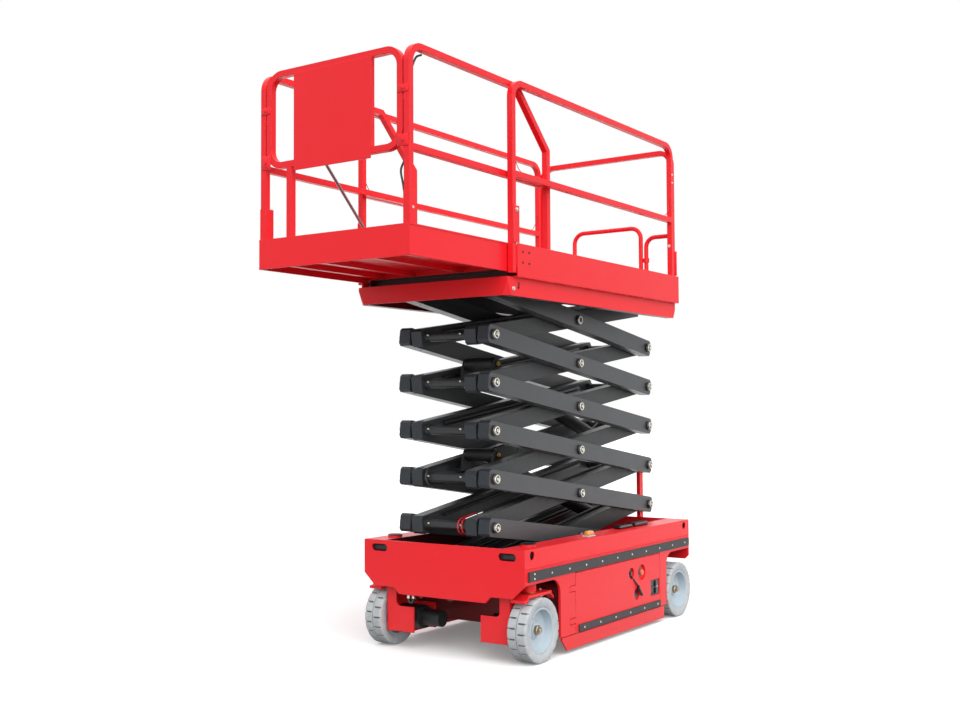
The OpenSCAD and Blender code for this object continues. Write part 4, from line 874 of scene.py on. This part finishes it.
# %% King pins, lamps, boxes
CAP = turned_mm([(0, 0), (48, 0), (48, 4), (42, 8), (26, 10), (0, 11)], 40)
WASHER = turned_mm([(31, 0), (52, 0), (53, 1.7), (52, 3.4), (31, 3.4), (31, 0)], 40)
beam_low, beam_high = corners("side_beams")
for side, out in SIDES:
    king = joint_at["steer" if side == "left" else "steer_right"]
    piece("king_cap_" + side, [stood(CAP, (king[0], king[1], beam_high[2]), (0, 0, 1))], "chassis",
          "black_plastic", gloss_black)
    piece("king_washer_" + side, [stood(WASHER, (king[0], king[1], beam_low[2] - 3.7 * MM), (0, 0, 1))],
          "chassis", "zinc_steel", brass)
    piece("lamp_base_" + side, [block((238, 326), (520, 568), (674, 683), 2, out)], "chassis",
          "rim_paint")
    lens = block((244, 320), (525, 563), (682, 709), 8, out)
    piece("lamp_" + side, [lens], "chassis", "red_sheath", amber)
    boxes = [block((-610, -420), (448, 520), (674, 700), 9, out),
             block((-385, -205), (452, 516), (674, 697), 9, out)]
    piece("cable_boxes_" + side, boxes, "chassis", "black_plastic", gloss_black)
print("king pins capped, lamps and boxes placed")

# %% [markdown]
# ### Under the front
# Behind the front wheels a cross panel closes the battery space, in the darker red of painted shade. Hydraulic
# hoses hang below the tub in short loops, with crimped ferrules, and black sheets of painted shade stand in and
# behind the lashing slots.

# %% Panel, hoses, slot shade
# The cross panel takes the darker red copy: painted shade behind the front wheels.
piece("cross_panel", [block((600, 604), (-560, 560), (125, 413))], "chassis", "red_paint", shaded_red_enamel)
LOOPS = [[(1010, -310, 412), (1048, -307, 350), (1054, -292, 298), (1050, -272, 300), (1040, -262, 350),
          (1000, -258, 412)],
         [(1020, -232, 412), (1052, -216, 350), (1057, -202, 331), (1052, -188, 350), (1020, -172, 412)],
         [(1020, -22, 412), (1052, -6, 350), (1057, 20, 335), (1052, 46, 350), (1020, 62, 412)]]
piece("front_hoses", [wire([spot(*p) for p in loop], 8 * MM) for loop in LOOPS], "chassis", "black_plastic",
      black_hose_pvc)
FERRULE = turned_mm([(0, 0), (11, 0), (11, 26), (8, 30), (0, 30)], 16)
ferrules = [stood(FERRULE, spot(1053, -302, 318), (-0.1, 0.1, 1)),
            stood(FERRULE, spot(1047, -268, 318), (-0.1, 0, 1))]
piece("ferrules", ferrules, "chassis", "zinc_steel")
# Black sheets in and behind the lashing slots: painted shade in the holes.
slot_shade_sheets = [block((1098, 1103), (380, 572), (592, 668), 1, out) for _, out in SIDES]
slot_shade_sheets += [block((-1083, -1078), (380, 572), (592, 668), 1, out) for _, out in SIDES]
slot_shade_sheets += [block(x, (414, 534), (606, 648), 0.4, out) for x in ((1114, 1116), (-1096, -1094))
           for _, out in SIDES]
slot_shade_sheets += [block((x - 40, x + 40), (574, 578), (600, 668), 1, out) for x in (1043, -1023)
           for _, out in SIDES]
piece("slot_painted_shade", slot_shade_sheets, "chassis", "black_paint")
print("front underside dressed")

# %% [markdown]
# ## Platform
# The rails stand in foot brackets with a bolt each, thin lanyards hold the lock pins, clamps join the front
# frame to the posts, and the deck sides carry a row of weld beads. The extension's side boards have a thin
# lip along both edges.

# %% Rail brackets
plates, bolts = [], []
for _, out in SIDES:
    plates.append(block((1137, 1203), (579, 584), (2440, 2655), 1, out))
    plates.append(block((-1003, -998), (515, 575), (2446, 2624), 1, out))
    bolts += bolt(spot(1166, out * 584, 2632), (0, out, 0), 17 * MM, 7 * MM, 13 * MM)
    bolts += bolt(spot(-1003, out * 545, 2590), (-1, 0, 0), 17 * MM, 7 * MM, 13 * MM)
    bolts += bolt(spot(-912, out * 557, 2654), (1, 0, 0), 15 * MM, 6 * MM, 11 * MM)
    bolts += bolt(spot(1162, out * 555, 2177), (0, out, 0), 20 * MM, 7 * MM, 13 * MM)
    bolts += screws([-930], 579, 3173, out, 8 * MM, 6 * MM) + screws([-930], 579, 3115, out, 8 * MM, 6 * MM)
piece("rail_plates", plates, "platform", "red_paint")
piece("rail_bolts", bolts, "platform", "zinc_steel")
plates, bolts = [], []
for _, out in SIDES:
    plates.append(block((2040, 2103), (530, 534), (2440, 2615), 1, out))
    plates.append(block((2040, 2103), (490, 494), (2440, 2615), 1, out))
    bolts += screws([2072], 534, 2525 if out > 0 else 2591, out, 8 * MM, 2.5 * MM)
    plates += [block((1215, 2107), (536, 538), z, 0.6, out) for z in ((2430, 2440), (2273, 2283))]
piece("extension_plates", plates, "extension", "red_paint")
piece("extension_bolts", bolts, "extension", "zinc_steel")
# Black domes in the board's four holes: painted shade for the holes' darkness.
hole_shade_heads = [head for _, out in SIDES for x in (1036, 1104) for z in (2330, 2393)
              for head in screws([x], 585, z, out, 8 * MM, 4 * MM)]
piece("board_hole_shade", hole_shade_heads, "platform", "black_paint")


def facet(points, thick):
    """Flat plate with these corners, this thick along their normal: a path through it carries the corners."""
    points = np.array(points, float)
    middle = points.mean(axis=0)
    normal = np.cross(points[1] - points[0], points[2] - points[0])
    normal /= np.linalg.norm(normal)
    across = (points[0] - middle) / np.linalg.norm(points[0] - middle)
    outline = np.stack([(points - middle) @ across, (points - middle) @ np.cross(normal, across)], axis=-1)
    return swept([middle - normal * thick / 2, middle + normal * thick / 2], outline, across)


CUT = (40, 90)
corner_plates = []
for _, out in SIDES:
    corner_plates.append(facet([spot(1225 - CUT[0], out * 555, 2136), spot(1225, out * 555, 2136 + CUT[1]),
                                spot(1225, out * (555 - CUT[0]), 2136)], 3 * MM))
    corner_plates.append(facet([spot(-973, out * 554, 2136), spot(-973, out * 554, 2250),
                                spot(-1003, out * 554, 2250), spot(-1003, out * 554, 2196)], 3 * MM))
piece("frame_corners", corner_plates, "platform", "red_paint")
beads = [block((x, x + 34), (584, 588), (2241, 2247), 1.5, out)
         for _, out in SIDES for x in (786, 518, 258, 27, -208, -446, -643)]
piece("weld_beads", beads, "platform", "red_paint")
print("brackets, bolts and beads placed")

# %% Lanyards and clamps
lanyards = []
for _, out in SIDES:
    for post, way in ((1183, -1), (-930, 1)):
        drop = [(post + way * 18, 561, 2985), (post + way * 36, 563, 2925), (post + way * 70, 564, 2880),
                (post + way * 112, 561, 2859)]
        lanyards.append(wire([spot(x, out * y, z) for x, y, z in drop], 2.4 * MM, 8))
piece("lanyards", lanyards, "platform", "red_sheath")
clamps = []
for out, low, high in ((1, 3123, 3163), (-1, 3146, 3186), (-1, 2833, 2912), (1, 2840, 2905)):
    clamps.append(block((2101, 2105), (452, 526), (low, high), 1, out))
    clamps.append(stood(hexagon_nut(13 * MM, 6 * MM), spot(2105, out * 490, (low + high) / 2), (1, 0, 0)))
piece("gate_clamps", clamps, "extension", "red_paint")
flanges = [block((2071, 2101), (272.5, 275.5), (2868, 3342), 0.8, out) for _, out in SIDES]
piece("panel_flanges", flanges, "extension", "red_paint")
STRUT = [(2069, -239, 3059), (1036, -484, 2390)]
top, foot = (spot(*p) for p in STRUT)
along = (foot - top) / np.linalg.norm(foot - top)
STRUT_LONG = float(np.linalg.norm(foot - top))
tube = turned([(0, 0), (9 * MM, 0), (9 * MM, STRUT_LONG), (0, STRUT_LONG)], 20)
EYE_BOSS = turned_mm([(0, 0), (12, 0), (12, 20), (0, 20)], 20)
eyes = [stood(EYE_BOSS, p - [0, 10 * MM, 0], (0, 1, 0)) for p in (top, foot)]
strut = piece("rail_strut", [stood(tube, top, along), *eyes], "extension", "zinc_steel", strut_grey)
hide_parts("rail_brace")
print("lanyards", len(lanyards), "clamps", len(clamps))

# %% [markdown]
# ### Control cable and floor
# A black cable comes down the inside of the left front post, held by clips. The floors are chequer plate:
# one flat lug is repeated over a grid, every second one turned by a right angle.

# %% Cable and chequer plate
CABLE = [(1950, 494, 3352), (1990, 490, 3330), (2022, 488, 3270), (2038, 486, 3200), (2048, 480, 3050),
         (2050, 476, 2900), (2075, 485, 2790), (2090, 467, 2720), (2085, 478, 2640), (2065, 483, 2500),
         (2055, 476, 2420), (2040, 455, 2342), (1960, 452, 2340)]
cable = wire([spot(*p) for p in CABLE], 6 * MM)
piece("control_cable", [cable], "extension", "black_plastic", black_hose_pvc)


def chequer(x, y, z, step=40, length=26, width=8, height=1.6):
    """Lugs on a grid: each is a flattened dome, long one way on even squares, the other way on odd ones."""
    dome_points, dome_faces = turned([(0.5, 0), (0.32, 0.75), (0, 1)], 8)
    xs, ys = np.meshgrid(np.arange(x[0], x[1], step), np.arange(y[0], y[1], step), indexing="ij")
    odd = (np.add.outer(np.arange(xs.shape[0]), np.arange(xs.shape[1])) % 2).ravel()[:, None]
    long_x = np.where(odd, width, length) * dome_points[None, :, 0]
    long_y = np.where(odd, length, width) * dome_points[None, :, 1]
    up = np.broadcast_to(height * dome_points[:, 2], long_x.shape)
    place = np.stack([xs.ravel()[:, None] + long_x, ys.ravel()[:, None] + long_y, z + up], axis=-1) * MM
    faces = dome_faces[None] + (np.arange(len(place)) * len(dome_points))[:, None, None]
    return place.reshape(-1, 3) + [wheel_mid_x, 0, 0], faces.reshape(-1, 4)


# The lugs take the darker red copy of the enamel: painted shade.
lugs = chequer((1180, 2050), (-480, 490), 2330.3)
piece("extension_chequer", [lugs], "extension", "red_paint", shaded_red_enamel)
lugs = chequer((-960, 225), (-500, 510), 2295)
piece("deck_chequer", [lugs], "platform", "red_paint", shaded_red_enamel)
print("chequer faces", made["extension_chequer"], made["deck_chequer"])

# %% Size and finish
print("pieces", len(made), "faces", sum(made.values()))
